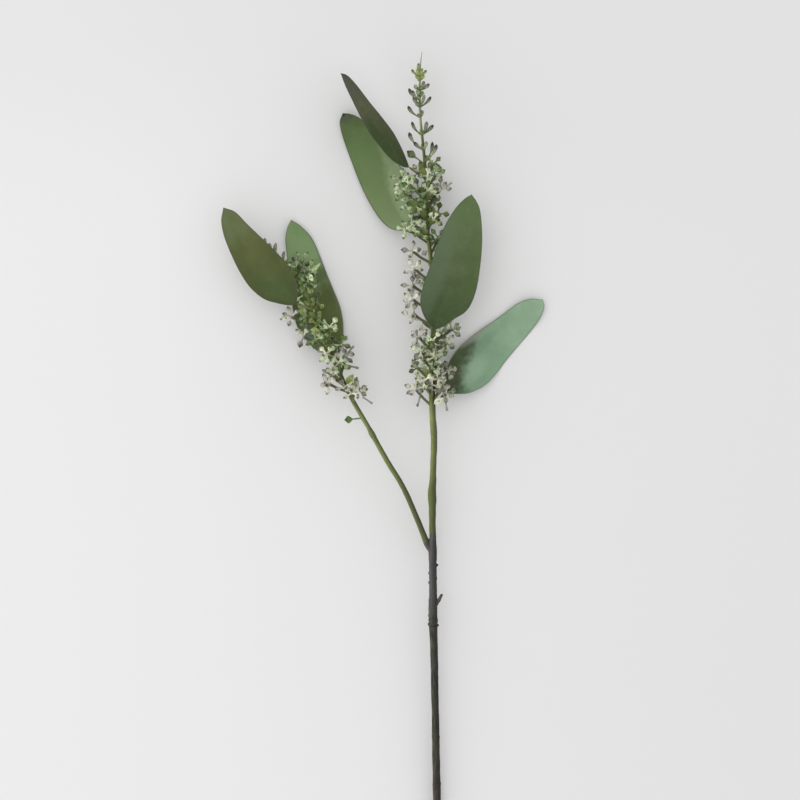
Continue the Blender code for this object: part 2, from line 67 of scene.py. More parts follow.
# Added to a spray's seed for the draws that its solid doesn't make: the buds' bends and tones with the added
# buds, the small umbels and the young leaves
MORE_BUDS_SEED = 100
FILL_SEED = 200
YOUNG_LEAVES_SEED = 300
# How many directions are tried for an added bud, to find the one with the most room
DIRECTIONS_TRIED = 24

# How finely the pieces are drawn
STEM_SIDES = 32
BRANCH_SIDES = 24
TWIG_SIDES = 16
STALK_SIDES = 10
BUD_SIDES = 12
PATH_STEPS = 8
STALK_STEPS = 5
PETIOLE_STEPS = 6
MARGIN_STEPS = 8
HEIGHT_STEPS = 8
BLADE_ROWS = 84
BLADE_COLUMNS = 26
END_ROW = 0.42
BARK_VOXEL = 0.4
CUT_RINGS = 12
BRACT_ROWS = 10
BRACT_HALF_COLUMNS = 3

# Thickness of a leaf blade at its middle and at its margin
BLADE_THICKNESS = 0.6
MARGIN_THICKNESS = 0.3

# Side veins of a leaf: how far apart, and how steeply they leave the midrib
VEIN_SPACING = 4.6
VEIN_SLANT = -0.75
# How far each leaf's waves are shifted from those of the one before
WAVE_SHIFT = 1.7

# Where bark gives way to green (y), and over what length the bark's relief fades out below it
FORK_Y = -50.0
RELIEF_FADE = 6.0

# How far the cut wood keeps inside the bark and stands out of it
CUT_INSET = 0.3
CUT_PROUD = 0.1

# How far a green branch starts inside the stub that it grows from, and how much thinner it is there
BRANCH_SUNK = 1.2
BRANCH_THINNER = 0.15

# Axes of the woody stem and of its two sprays: x, y, z and radius
CUT_END = CUT_RADIUS * CUT_SLANT - SPRIG_LENGTH / 2
WOODY_AXIS = [
    (38.9, CUT_END, 2.85, CUT_RADIUS),
    (38.7, CUT_END + 14, 2.85, CUT_RADIUS),
    (37.7, -226.8, 4.7, 2.7),
    (36.5, -163.8, 7.3, 2.6),
    (35.6, -124.0, 9.0, 2.7),
    (35.3, -111.3, 9.5, 3.05),
    (35.0, -102.0, 9.9, 3.1),
    (35.0, -88.0, 10.5, 2.65),
    (34.9, -69.0, 11.3, 2.7),
    (34.8, -60.0, 11.7, 2.9),
]
MAIN_AXIS = [
    (34.9, -50.4, 12.1, 2.4),
    (34.6, -38.0, 12.7, 2.3),
    (34.6, -29.0, 13.1, 2.5),
    (34.6, -23.5, 13.35, 2.9),
    (34.4, -17.5, 13.6, 2.95),
    (34.9, -10.5, 13.9, 2.45),
    (35.1, -2.8, 14.3, 2.2),
    (35.4, 5.0, 14.65, 2.1),
    (35.6, 12.0, 15.0, 2.2),
    (35.7, 18.2, 15.3, 2.3),
    (35.5, 24.5, 15.6, 2.4),
    (35.0, 31.0, 15.9, 2.25),
    (34.4, 45.0, 16.6, 2.2),
    (34.2, 67.0, 17.2, 1.85),
    (34.7, 95.0, 17.5, 1.5),
    (34.4, 122.0, 17.6, 1.4),
    (33.4, 145.6, 17.8, 1.35),
    (31.6, 160.0, 18.0, 1.3),
    (30.8, 179.2, 18.2, 1.25),
    (30.1, 200.2, 18.2, 1.15),
    (29.1, 214.2, 18.1, 1.05),
    (27.3, 231.7, 17.8, 0.95),
    (25.9, 245.7, 17.5, 0.85),
    (25.6, 263.2, 17.0, 0.75),
    (25.8, 277.0, 16.5, 0.65),
    (26.3, 282.5, 16.2, 0.5),
    (26.8, 286.6, 16.0, 0.36),
    (27.3, SPRIG_LENGTH / 2, 15.8, 0.24),
]
SIDE_AXIS = [
    (25.0, -39.6, 12.8, 1.95),
    (14.6, -15.9, 13.9, 1.85),
    (2.8, 3.7, 14.6, 1.8),
    (-4.9, 17.4, 15.1, 1.75),
    (-7.6, 22.2, 15.2, 2.1),
    (-10.2, 27.0, 15.3, 1.65),
    (-14.9, 35.1, 15.5, 1.6),
    (-21.8, 47.0, 15.8, 1.5),
    (-26.7, 56.8, 16.0, 1.45),
    (-34.3, 75.6, 16.3, 1.3),
    (-40.6, 89.6, 16.4, 1.2),
    (-48.3, 107.8, 16.3, 1.1),
    (-54.6, 123.2, 15.8, 0.95),
    (-61.8, 134.8, 15.0, 0.85),
    (-71.6, 144.2, 14.0, 0.7),
    (-80.4, 151.9, 13.2, 0.6),
    (-87.6, 157.8, 12.8, 0.4),
]
# The stem's stubs that the two sprays grow from: x, y, z and radius
MAIN_STUB_END = (34.85, -50.7, 12.09, 2.4)
SIDE_STUB = [
    (34.6, -61.0, 11.8, 1.9),
    (31.2, -55.0, 12.0, 2.2),
    (27.6, -46.2, 12.4, 2.05),
    (25.12, -39.87, 12.79, 1.97),
]

# Bumps of old side shoots on the bark: x, y, outward direction, length, radius
BARK_KNOTS = [
    ((34.4, -100.2), (-1.0, 0.2, 0.2), 2.6, 1.3),
    ((34.2, -105.0), (-1.0, 0.1, 0.1), 2.6, 1.4),
    ((34.2, -110.6), (-1.0, -0.1, 0.3), 2.8, 1.5),
    ((36.2, -112.0), (1.0, 0.1, 0.2), 2.7, 1.4),
    ((36.2, -70.0), (1.0, 0.35, 0.1), 2.6, 1.5),
    ((33.8, -75.5), (-1.0, 0.3, 0.2), 2.3, 1.4),
    ((33.6, -82.0), (-1.0, 0.5, -0.2), 2.0, 1.7),
    ((37.2, -190.4), (1.0, 0.4, 0.3), 2.6, 1.2),
    ((38.2, -223.6), (1.0, 0.5, 0.2), 2.7, 1.2),
]
# A short stub of a twig: x, y, z and radius
TWIG_STUB = [(36.0, -98.5, 10.2, 1.5), (38.6, -95.0, 10.8, 1.15), (41.4, -89.8, 11.4, 0.95)]

# Scars that ring the bark: y, height, width along the stem
BARK_RINGS = [(-111.6, 0.6, 0.8), (-107.8, 0.35, 0.8), (-94.0, 0.3, 0.8), (-78.6, 0.36, 0.6),
              (-65.4, 0.2, 0.9), (-149.0, 0.12, 0.8), (-190.4, 0.2, 0.8), (-223.8, 0.24, 0.8)]

# Umbels of a spray: where the stalk leaves the axis (y), where it ends (x, y, z), how many buds the solid
# has, how far they may rise and fall beside how far they spread, how many more buds there are, the
# colour's place from fresh green (0) to grey (1), and how light it is
# The lightness is partly painted light and shade: umbels deep among the leaves are made darker, those in the
# open lighter.
MAIN_UMBELS = [
    (41.6, (22.8, 53.9, 19.0), 5, 0.8, 2, 0.92, 1.05),
    (42.6, (43.6, 51.1, 21.0), 5, 0.5, 2, 0.78, 0.58),
    (51.8, (28.7, 59.5, 25.0), 4, 0.8, 2, 0.72, 1.05),
    (52.6, (38.2, 60.9, 25.5), 4, 0.8, 2, 0.70, 0.74),
    (60.2, (24.3, 68.6, 14.5), 5, 0.8, 2, 0.45, 0.95),
    (60.8, (44.8, 66.5, 20.5), 4, 0.6, 3, 0.72, 0.60),
    (68.6, (35.7, 76.3, 24.5), 4, 0.7, 2, 0.62, 0.92),
    (70.0, (26.6, 79.8, 20.5), 4, 0.7, 2, 0.68, 1.15),
    (76.0, (32.5, 84.8, 9.5), 3, 0.5, 2, 0.50, 0.85),
    (79.8, (44.1, 86.0, 14.0), 5, 0.6, 3, 0.70, 0.80),
    (81.0, (25.3, 90.3, 16.5), 4, 0.7, 1, 0.92, 1.05),
    (86.8, (48.0, 95.6, 12.5), 4, 0.4, 2, 0.55, 0.60),
    (98.4, (21.4, 106.4, 15.0), 4, 0.7, 1, 0.95, 1.05),
    (104.0, (40.6, 113.4, 11.5), 3, 0.6, 1, 0.60, 0.90),
    (109.0, (20.5, 116.6, 19.0), 4, 0.6, 1, 0.95, 1.00),
    (118.6, (20.6, 126.4, 13.0), 4, 0.7, 1, 0.95, 1.05),
    (121.0, (42.0, 130.0, 11.5), 3, 0.6, 1, 0.50, 0.90),
    (129.0, (21.9, 138.2, 18.0), 4, 0.7, 1, 0.88, 1.00),
    (142.0, (20.6, 150.6, 16.0), 4, 0.6, 2, 0.95, 1.15),
    (148.0, (37.6, 157.4, 14.5), 4, 0.5, 2, 0.25, 0.80),
    (161.0, (20.6, 170.0, 21.0), 4, 0.6, 3, 0.50, 1.10),
    (168.0, (38.6, 177.0, 17.5), 4, 0.8, 2, 0.15, 0.85),
    (173.0, (23.2, 181.4, 23.5), 4, 0.7, 3, 0.32, 0.95),
    (177.0, (33.4, 184.6, 10.0), 3, 0.5, 2, 0.35, 0.80),
    (179.6, (40.4, 194.4, 19.0), 4, 0.8, 3, 0.95, 0.62),
    (181.0, (13.6, 191.4, 18.0), 4, 0.7, 3, 0.48, 1.35),
    (184.0, (31.4, 192.6, 25.0), 3, 0.7, 2, 0.45, 0.85),
    (189.0, (12.6, 201.0, 12.5), 4, 0.4, 2, 0.48, 1.35),
    (195.0, (36.8, 203.6, 18.0), 4, 0.8, 2, 0.45, 0.85),
]
SIDE_UMBELS = [
    (51.8, (-37.6, 57.4, 17.5), 5, 0.8, 2, 1.00, 1.20),
    (47.6, (-17.8, 53.4, 18.0), 5, 0.8, 3, 0.82, 0.80),
    (64.0, (-26.4, 77.2, 21.0), 4, 0.6, 2, 0.95, 0.60),
    (68.0, (-38.8, 78.2, 21.0), 4, 0.7, 3, 0.58, 1.15),
    (66.0, (-31.0, 72.6, 23.5), 3, 0.7, 2, 0.55, 1.05),
    (85.0, (-36.8, 97.4, 20.5), 4, 0.5, 2, 0.50, 1.15),
    (78.0, (-47.0, 88.6, 21.5), 3, 0.6, 2, 0.30, 0.85),
    (83.0, (-56.0, 90.4, 14.0), 3, 0.5, 2, 0.90, 1.00),
    (90.0, (-45.4, 98.8, 19.5), 4, 0.6, 2, 0.12, 0.80),
    (94.0, (-53.6, 102.0, 14.5), 3, 0.5, 2, 0.30, 0.80),
    (98.0, (-64.4, 104.4, 11.5), 4, 0.4, 2, 0.95, 1.00),
    (118.0, (-52.0, 128.4, 16.0), 4, 0.5, 3, 0.25, 0.70),
    (127.0, (-52.8, 137.4, 13.0), 4, 0.5, 3, 0.42, 0.95),
    (124.0, (-62.4, 131.0, 12.5), 4, 0.5, 2, 0.15, 0.65),
    (133.0, (-57.4, 143.6, 11.5), 3, 0.5, 2, 0.30, 0.75),
    (74.0, (-29.6, 85.6, 14.0), 3, 0.6, 2, 0.15, 0.80),
]

# Umbels between those of the solid, in the same form
MAIN_MORE_UMBELS = [
    (186.0, (18.0, 197.4, 21.5), 0, 0.7, 5, 0.50, 1.25),
    (158.0, (25.4, 166.6, 22.5), 0, 0.7, 5, 0.48, 1.20),
    (160.0, (15.8, 165.6, 16.0), 0, 0.6, 4, 0.50, 1.20),
    (176.0, (17.6, 184.0, 15.0), 0, 0.6, 4, 0.45, 1.15),
    (48.0, (34.2, 56.8, 24.0), 0, 0.7, 5, 0.80, 1.10),
]
SIDE_MORE_UMBELS = [
    (45.0, (-22.0, 51.0, 21.5), 0, 0.6, 5, 0.85, 0.95),
    (49.0, (-26.4, 55.6, 20.5), 0, 0.6, 3, 0.80, 0.85),
    (56.0, (-36.6, 63.4, 15.5), 0, 0.6, 4, 0.95, 1.15),
]

# Small umbels close to the axis, drawn by a seeded rule: from and to (y), how many, the range of their
# colour places and how high they may stand
MAIN_FILL = [
    (44.0, 84.0, 12, (0.35, 0.85), 26.0),
    (86.0, 150.0, 7, (0.5, 0.9), 13.0),
    (154.0, 208.0, 14, (0.1, 0.7), 26.0),
]
SIDE_FILL = [
    (50.0, 104.0, 10, (0.1, 0.8), 24.0),
    (108.0, 140.0, 7, (0.1, 0.5), 14.0),
]

# Small young leaves close to the axis, drawn by a seeded rule: from and to (y), how many, how high
MAIN_YOUNG_LEAVES = [(54.0, 84.0, 7, 24.0), (90.0, 150.0, 7, 15.0), (158.0, 204.0, 13, 23.0)]
SIDE_YOUNG_LEAVES = [(80.0, 106.0, 15, 23.0), (104.0, 140.0, 18, 16.0)]

# Lone buds: where the stalk leaves the axis (y), then the bud's end (x, y, z), its length and its radius,
# and its colour as for an umbel. Those of MAIN_CUPS have the form of an open cup.
MAIN_LONE_BUDS = [
    (205.0, (25.2, 213.0, 20.0), 6.2, 2.4, 0.10, 0.75),
    (204.0, (34.6, 214.0, 17.0), 6.4, 2.0, 0.70, 0.36),
    (211.0, (16.6, 220.4, 19.5), 7.4, 2.8, 0.26, 0.40),
]
MAIN_CUPS = [
    (200.0, (39.6, 210.8, 19.0), 6.4, 2.7, 0.35, 0.85),
]
SIDE_LONE_BUDS = [
    (33.6, (-27.0, 32.2, 18.0), 5.6, 2.7, 0.12, 0.74),
]

# Tiers of slender buds on a spray's end: y on the axis, then how far each bud reaches in x, y and z
MAIN_SPIKE = [
    (212.6, [(8.4, 12.4, 1.0), (5.4, 14.4, -2.0)]),
    (221.0, [(-6.8, 5.6, 1.0), (-10.2, 12.6, -2.0), (2.0, 6.0, 4.5)]),
    (231.4, [(8.0, 7.4, -1.0), (3.4, 9.6, 2.0), (-7.2, 9.6, 1.0)]),
    (243.8, [(-8.6, 8.2, 0.0), (1.0, 5.0, 4.0)]),
    (251.0, [(7.8, 7.6, 0.0), (3.2, 8.6, 3.0), (-4.6, 7.6, -2.0), (-2.2, 3.4, 3.0)]),
    (256.0, [(-5.2, 6.8, 1.5), (-7.6, 8.4, -1.0)]),
    (262.6, [(6.8, 5.0, -1.0), (3.0, 6.8, 2.0), (-3.6, 4.2, 1.0)]),
    (272.6, [(-5.6, 5.0, 0.5), (4.6, 4.6, -0.5), (1.6, 5.6, 3.0), (-1.6, 6.0, -2.5)]),
]
SIDE_SPIKE = [
    (141.4, [(-0.4, 9.2, 0.0), (6.0, 3.4, -1.0)]),
    (146.4, [(-0.8, 10.0, 0.0), (-6.0, 1.0, -1.0)]),
    (149.6, [(-1.8, 6.6, -1.0), (-4.0, -3.4, 0.0)]),
    (152.6, [(-1.6, 7.2, -1.0), (-6.0, 1.2, 0.0)]),
]

# Tiers that the solid leaves out
MAIN_SPIKE_EXTRA = [
    (269.4, [(-2.8, 4.2, 1.8), (3.2, 4.0, 1.4)]),
    (274.0, [(-0.8, 8.0, 0.8)]),
    (258.0, [(-1.6, 5.2, 2.4), (2.0, 4.4, -2.0)]),
]
# Above this y the buds are young, so they are pale and thin
YOUNG_SPIKE = 268.0

# Bare bud stalks with a thickened end: from and to (x, y, z), colour place and lightness
MAIN_BARE_STALKS = [
    ((26.4, 50.2, 18.6), (23.9, 41.6, 16.8), 1.00, 0.42),
    ((43.2, 50.0, 20.6), (44.9, 38.4, 19.0), 0.90, 0.50),
    ((24.0, 83.6, 17.6), (23.6, 95.4, 18.0), 0.90, 0.45),
    ((41.8, 193.6, 19.0), (48.6, 198.6, 20.0), 0.70, 0.75),
]
SIDE_BARE_STALKS = [
    ((-26.8, 71.0, 19.6), (-17.0, 68.4, 18.4), 0.90, 0.30),
    ((-26.4, 77.2, 21.0), (-20.4, 83.8, 20.4), 0.90, 0.38),
    ((-14.0, 48.2, 17.6), (-7.4, 43.6, 16.6), 0.85, 0.45),
    ((-51.6, 137.0, 13.6), (-44.4, 141.2, 14.0), 0.40, 1.05),
]

# Small young leaves among the buds: from and to (x, y, z), width, colour place and lightness
MAIN_BRACTS = [
    ((25.4, 179.6, 22.0), (18.4, 186.0, 25.5), 5.4, 0.06, 0.75),
    ((29.6, 173.6, 20.6), (25.2, 182.0, 24.0), 4.4, 0.06, 0.55),
    ((35.8, 43.6, 19.0), (42.6, 47.8, 21.0), 4.6, 0.72, 1.05),
    ((30.2, 201.0, 19.6), (25.0, 211.2, 20.4), 5.2, 0.05, 0.70),
    ((32.0, 168.6, 19.0), (40.4, 176.6, 19.6), 4.6, 0.08, 0.80),
    ((34.2, 62.0, 19.5), (27.6, 68.4, 21.0), 4.6, 0.05, 0.85),
]
SIDE_BRACTS = [
    ((-25.4, 57.6, 17.5), (-20.6, 64.2, 19.6), 4.8, 0.04, 1.05),
    ((-40.0, 88.0, 18.0), (-46.6, 93.6, 20.5), 5.0, 0.00, 0.80),
    ((-44.0, 89.4, 19.0), (-48.2, 97.4, 21.5), 5.2, 0.02, 0.95),
    ((-54.6, 104.6, 15.0), (-58.4, 116.0, 17.0), 5.6, 0.40, 0.85),
    ((-50.6, 135.0, 15.0), (-43.8, 141.8, 15.6), 2.6, 0.30, 1.20),
    ((-52.4, 134.4, 15.5), (-48.6, 129.0, 17.0), 3.6, 0.62, 1.30),
]

# What each spray is made of
SPRAYS = {
    "main": {
        "axis": MAIN_AXIS, "umbels": MAIN_UMBELS, "more_umbels": MAIN_MORE_UMBELS, "fill": MAIN_FILL,
        "lone_buds": MAIN_LONE_BUDS + MAIN_CUPS, "bare_stalks": MAIN_BARE_STALKS, "bracts": MAIN_BRACTS,
        "young_leaves": MAIN_YOUNG_LEAVES, "seed": MAIN_SEED,
        "tiers": MAIN_SPIKE + MAIN_SPIKE_EXTRA, "spike_seed": MAIN_SPIKE_SEED,
    },
    "side": {
        "axis": SIDE_AXIS, "umbels": SIDE_UMBELS, "more_umbels": SIDE_MORE_UMBELS, "fill": SIDE_FILL,
        "lone_buds": SIDE_LONE_BUDS, "bare_stalks": SIDE_BARE_STALKS, "bracts": SIDE_BRACTS,
        "young_leaves": SIDE_YOUNG_LEAVES, "seed": SIDE_SEED,
        "tiers": SIDE_SPIKE, "spike_seed": SIDE_SPIKE_SEED,
    },
}

# Leaves: margins from the base to the tip (x, y), midrib heights at even steps, how far the right margin
# stands above the left one beside the leaf's width, how far both curl up, and the leaf stalk's way from
# its seat on the axis (y) over its bends
LEAVES = {
    "leaf_1": {
        "left": [(-65.8, 112.4), (-74.6, 114.0), (-83.3, 116.9), (-92.4, 124.3), (-99.4, 134.4),
                 (-105.7, 147.0), (-111.0, 160.3), (-113.1, 171.6)],
        "right": [(-59.6, 120.6), (-60.6, 129.4), (-65.8, 139.7), (-71.0, 145.9), (-79.8, 154.7),
                  (-87.9, 162.4), (-95.2, 169.4), (-103.3, 177.6)],
        "base": (-60.6, 113.6),
        "tip": (-111.5, 180.6),
        "heights": [20.0, 21.5, 22.0, 20.5, 18.0],
        "roll": (0.12, 0.16),
        "curl": 0.10,
        "seat": (SIDE_AXIS, 108.0),
        "bends": [(-53.6, 111.2, 19.8)],
    },
    "leaf_2": {
        "left": [(-45.1, 80.2), (-52.5, 86.5), (-60.2, 97.3), (-63.9, 112.7), (-66.0, 130.2),
                 (-67.8, 149.8), (-68.6, 159.6), (-67.3, 167.0)],
        "right": [(-28.6, 88.2), (-27.9, 98.7), (-29.8, 110.6), (-34.3, 122.5), (-38.9, 133.4),
                  (-44.1, 147.0), (-48.3, 156.8), (-52.5, 163.1), (-58.4, 168.9)],
        "base": (-33.8, 78.6),
        "tip": (-64.6, 172.8),
        "heights": [6.5, 1.0, -0.8, -0.5, 3.2],
        "roll": (0.0, 0.05),
        "curl": 0.12,
        "seat": (SIDE_AXIS, 71.0),
        "bends": [(-31.0, 73.4, 10.6)],
    },
    "leaf_3": {
        "left": [(9.1, 165.2), (2.1, 168.7), (-4.2, 175.9), (-11.1, 187.5), (-16.5, 199.1),
                 (-21.7, 212.5), (-26.3, 225.0), (-29.6, 235.7), (-30.3, 242.0)],
        "right": [(21.4, 175.0), (21.0, 186.2), (17.5, 198.8), (11.2, 212.1), (3.5, 224.0),
                  (-4.9, 234.5), (-11.9, 241.0), (-18.2, 245.2), (-23.4, 247.2)],
        "base": (18.0, 165.8),
        "tip": (-28.2, 247.4),
        "heights": [9.5, 2.6, -0.7, -0.7, 3.8],
        "roll": (0.0, -0.05),
        "curl": 0.12,
        "seat": (MAIN_AXIS, 155.6),
        "bends": [(27.2, 159.0, 13.0)],
    },
    "leaf_4": {
        "left": [(14.0, 209.2), (5.6, 214.4), (-2.1, 223.0), (-9.1, 232.1), (-15.4, 243.3),
                 (-21.4, 255.5), (-26.4, 266.0)],
        "right": [(16.1, 215.2), (12.6, 223.4), (7.0, 233.8), (-1.4, 245.0), (-9.8, 255.2),
                  (-17.5, 265.3), (-23.3, 271.7), (-26.7, 273.9)],
        "base": (18.4, 208.9),
        "tip": (-29.4, 274.2),
        "heights": [19.6, 18.6, 19.0, 20.4, 23.0],
        "roll": (-0.3, -0.55),
        "curl": 0.06,
        "seat": (MAIN_AXIS, 200.6),
        "bends": [(24.4, 204.4, 19.8)],
    },
    "leaf_5": {
        "left": [(32.2, 99.4), (28.0, 106.1), (26.0, 114.8), (27.7, 124.6), (31.5, 135.8), (35.7, 147.7),
                 (39.9, 160.0), (44.8, 170.8), (51.1, 180.6), (57.4, 187.0)],
        "right": [(42.7, 97.7), (49.7, 102.6), (57.4, 107.5), (62.0, 114.1), (65.5, 124.6), (67.6, 137.2),
                  (69.0, 151.2), (69.2, 163.8), (68.0, 177.8), (65.5, 184.8)],
        "base": (36.6, 95.4),
        "tip": (62.0, 189.7),
        "heights": [22.0, 25.0, 27.0, 26.0, 22.0],
        "roll": (-0.02, -0.12),
        "curl": 0.08,
        "seat": (MAIN_AXIS, 90.6),
        "bends": [(35.8, 91.8, 21.0)],
    },
    "leaf_6": {
        "left": [(42.7, 61.6), (45.5, 71.4), (51.1, 80.5), (58.8, 88.2), (67.9, 95.2), (78.4, 102.2),
                 (88.9, 110.1), (95.9, 114.8), (103.4, 117.3)],
        "right": [(46.2, 50.8), (53.9, 50.4), (61.6, 51.4), (71.4, 56.4), (79.1, 64.1), (86.8, 74.2),
                  (95.9, 85.1), (105.0, 95.9), (110.6, 104.3), (113.3, 111.6)],
        "base": (40.8, 52.4),
        "tip": (112.2, 116.6),
        "heights": [9.5, 3.2, -0.8, -0.8, 2.8],
        "roll": (0.0, -0.04),
        "curl": 0.12,
        "seat": (MAIN_AXIS, 46.6),
        "bends": [(38.0, 49.4, 12.2)],
    },
}

# Colours of each leaf at places along it, with those of its rim and of its underside. The stops carry each
# leaf's own colour together with painted light and shade: how lit or shaded the leaf and its stretches look.
LEAF_COLOURS_AND_SHADING = {
    "leaf_1": ([(0.0, (62, 76, 40)), (0.3, (70, 81, 42)), (0.6, (82, 90, 49)), (1.0, (97, 108, 70))],
               (84, 76, 64), (112, 124, 96)),
    "leaf_2": ([(0.0, (86, 100, 54)), (0.5, (90, 102, 56)), (0.63, (138, 165, 116)), (1.0, (116, 143, 96))],
               (112, 112, 100), (128, 140, 114)),
    "leaf_3": ([(0.0, (136, 155, 114)), (0.4, (114, 135, 88)), (0.75, (102, 126, 79)), (0.97, (88, 103, 64))],
               (84, 92, 72), (128, 140, 114)),
    "leaf_4": ([(0.0, (39, 54, 20)), (0.35, (56, 69, 36)), (0.65, (76, 80, 55)), (1.0, (74, 73, 63))],
               (76, 74, 58), (108, 120, 88)),
    "leaf_5": ([(0.0, (48, 65, 35)), (0.3, (67, 83, 49)), (0.55, (84, 100, 66)), (1.0, (91, 111, 71))],
               (78, 88, 70), (108, 120, 92)),
    "leaf_6": ([(0.0, (56, 66, 44)), (0.12, (70, 82, 58)), (0.22, (126, 155, 128)), (0.55, (128, 159, 131)),
                (1.0, (150, 176, 148))], (112, 124, 106), (146, 162, 140)),
}

# Patches on a leaf, most of them painted shade and painted light where the blade curves, a few of its own
# colour: share of its length, place across it (-1 left margin, 1 right margin), how far the patch reaches
# along and across, its colour and its strength
LEAF_LIGHT_AND_SHADE_PATCHES = {
    "leaf_1": [(0.2, -0.2, 0.25, 0.7, (72, 92, 52), 0.5), (0.85, -0.6, 0.2, 0.6, (98, 114, 78), 0.5),
               (0.5, 0.1, 0.25, 0.6, (94, 98, 52), 0.4)],
    "leaf_2": [(0.16, -0.75, 0.15, 0.6, (122, 142, 122), 0.8), (0.55, 1.0, 0.4, 0.15, (104, 110, 98), 0.45),
               (0.7, -0.4, 0.2, 0.8, (134, 158, 116), 0.7), (0.5, 0.8, 0.2, 0.5, (78, 90, 52), 0.6)],
    "leaf_3": [(0.28, 0.7, 0.3, 0.75, (158, 178, 140), 0.8), (0.5, 0.8, 0.2, 0.5, (146, 164, 124), 0.5),
               (0.98, 0.0, 0.09, 1.4, (84, 84, 72), 0.6), (1.0, 0.0, 0.035, 1.4, (48, 48, 38), 0.95)],
    "leaf_4": [(0.27, -0.5, 0.3, 0.7, (48, 64, 26), 0.95), (0.12, 0.2, 0.14, 1.0, (54, 68, 34), 0.8),
               (0.3, 0.9, 0.28, 0.45, (68, 72, 52), 0.6), (0.9, 0.0, 0.2, 1.4, (68, 68, 54), 0.6),
               (1.0, 0.0, 0.08, 1.4, (56, 57, 56), 0.85)],
    "leaf_5": [(0.45, -0.75, 0.4, 0.6, (90, 108, 82), 0.55), (0.55, 0.7, 0.3, 0.5, (74, 95, 50), 0.5)],
    "leaf_6": [(0.42, -0.5, 0.2, 0.4, (112, 138, 116), 0.6), (0.29, 0.2, 0.16, 0.45, (164, 188, 164), 0.3),
               (0.3, -0.85, 0.19, 0.65, (54, 68, 38), 0.92), (0.14, -0.5, 0.2, 0.9, (64, 72, 46), 0.9),
               (0.08, 0.5, 0.14, 0.9, (56, 68, 42), 0.9), (0.47, -1.0, 0.15, 0.3, (138, 138, 128), 0.7)],
}

# A closed bud, an open cup and a slender bud, from the end of the stalk to the tip: share of the length and
# share of the radius
BUD_PROFILE = [
    (0.0, 0.26), (0.08, 0.42), (0.2, 0.66), (0.34, 0.86), (0.46, 0.97), (0.52, 1.0), (0.555, 0.94),
    (0.6, 0.9), (0.7, 0.72), (0.8, 0.47), (0.9, 0.24), (0.97, 0.11), (1.0, 0.0),
]
CUP_PROFILE = [
    (0.0, 0.28), (0.12, 0.46), (0.3, 0.72), (0.5, 0.9), (0.7, 1.0), (0.86, 1.04), (0.92, 0.98), (0.935, 0.8),
    (0.94, 0.5), (0.96, 0.3), (0.97, 0.0),
]
SLENDER_PROFILE = [
    (0.0, 0.38), (0.12, 0.5), (0.3, 0.74), (0.5, 0.94), (0.66, 1.0), (0.8, 0.88), (0.91, 0.56),
    (0.97, 0.28), (1.0, 0.0),
]


def smooth_path(points, steps):
    """Points on a smooth curve through the given ones, with this many spans between two of them."""
    path = []
    last = len(points) - 1
    for index in range(last):
        before = points[max(index - 1, 0)]
        start = points[index]
        end = points[index + 1]
        after = points[min(index + 2, last)]
        for step in range(steps):
            t = step / steps
            path.append(tuple(
                0.5 * (2 * b + (c - a) * t + (2 * a - 5 * b + 4 * c - d) * t * t
                       + (3 * b - a - 3 * c + d) * t ** 3)
                for a, b, c, d in zip(before, start, end, after)
            ))
    path.append(tuple(points[last]))
    return path


def place_on(axis, y):
    """The point, radius and direction of a smooth axis where it passes this y."""
    for start, end in zip(axis, axis[1:]):
        if y <= end[1] or end is axis[-1]:
            break
    share = (y - start[1]) / (end[1] - start[1])
    point = Vector([a + (b - a) * share for a, b in zip(start[:3], end[:3])])
    radius = start[3] + (end[3] - start[3]) * share
    along = (Vector(end[:3]) - Vector(start[:3])).normalized()
    return point, radius, along


def ring_directions(points):
    """Two directions across the path at each point, carried along it without a twist."""
    frames = []
    across = None
    for index, point in enumerate(points):
        ahead = points[min(index + 1, len(points) - 1)] - points[max(index - 1, 0)]
        ahead.normalize()
        if across is None:
            guide = Vector((0, 0, 1)) if abs(ahead.z) < 0.9 else Vector((1, 0, 0))
            across = guide.cross(ahead).normalized()
        across = (across - ahead * across.dot(ahead)).normalized()
        frames.append((across, ahead.cross(across)))
    return frames


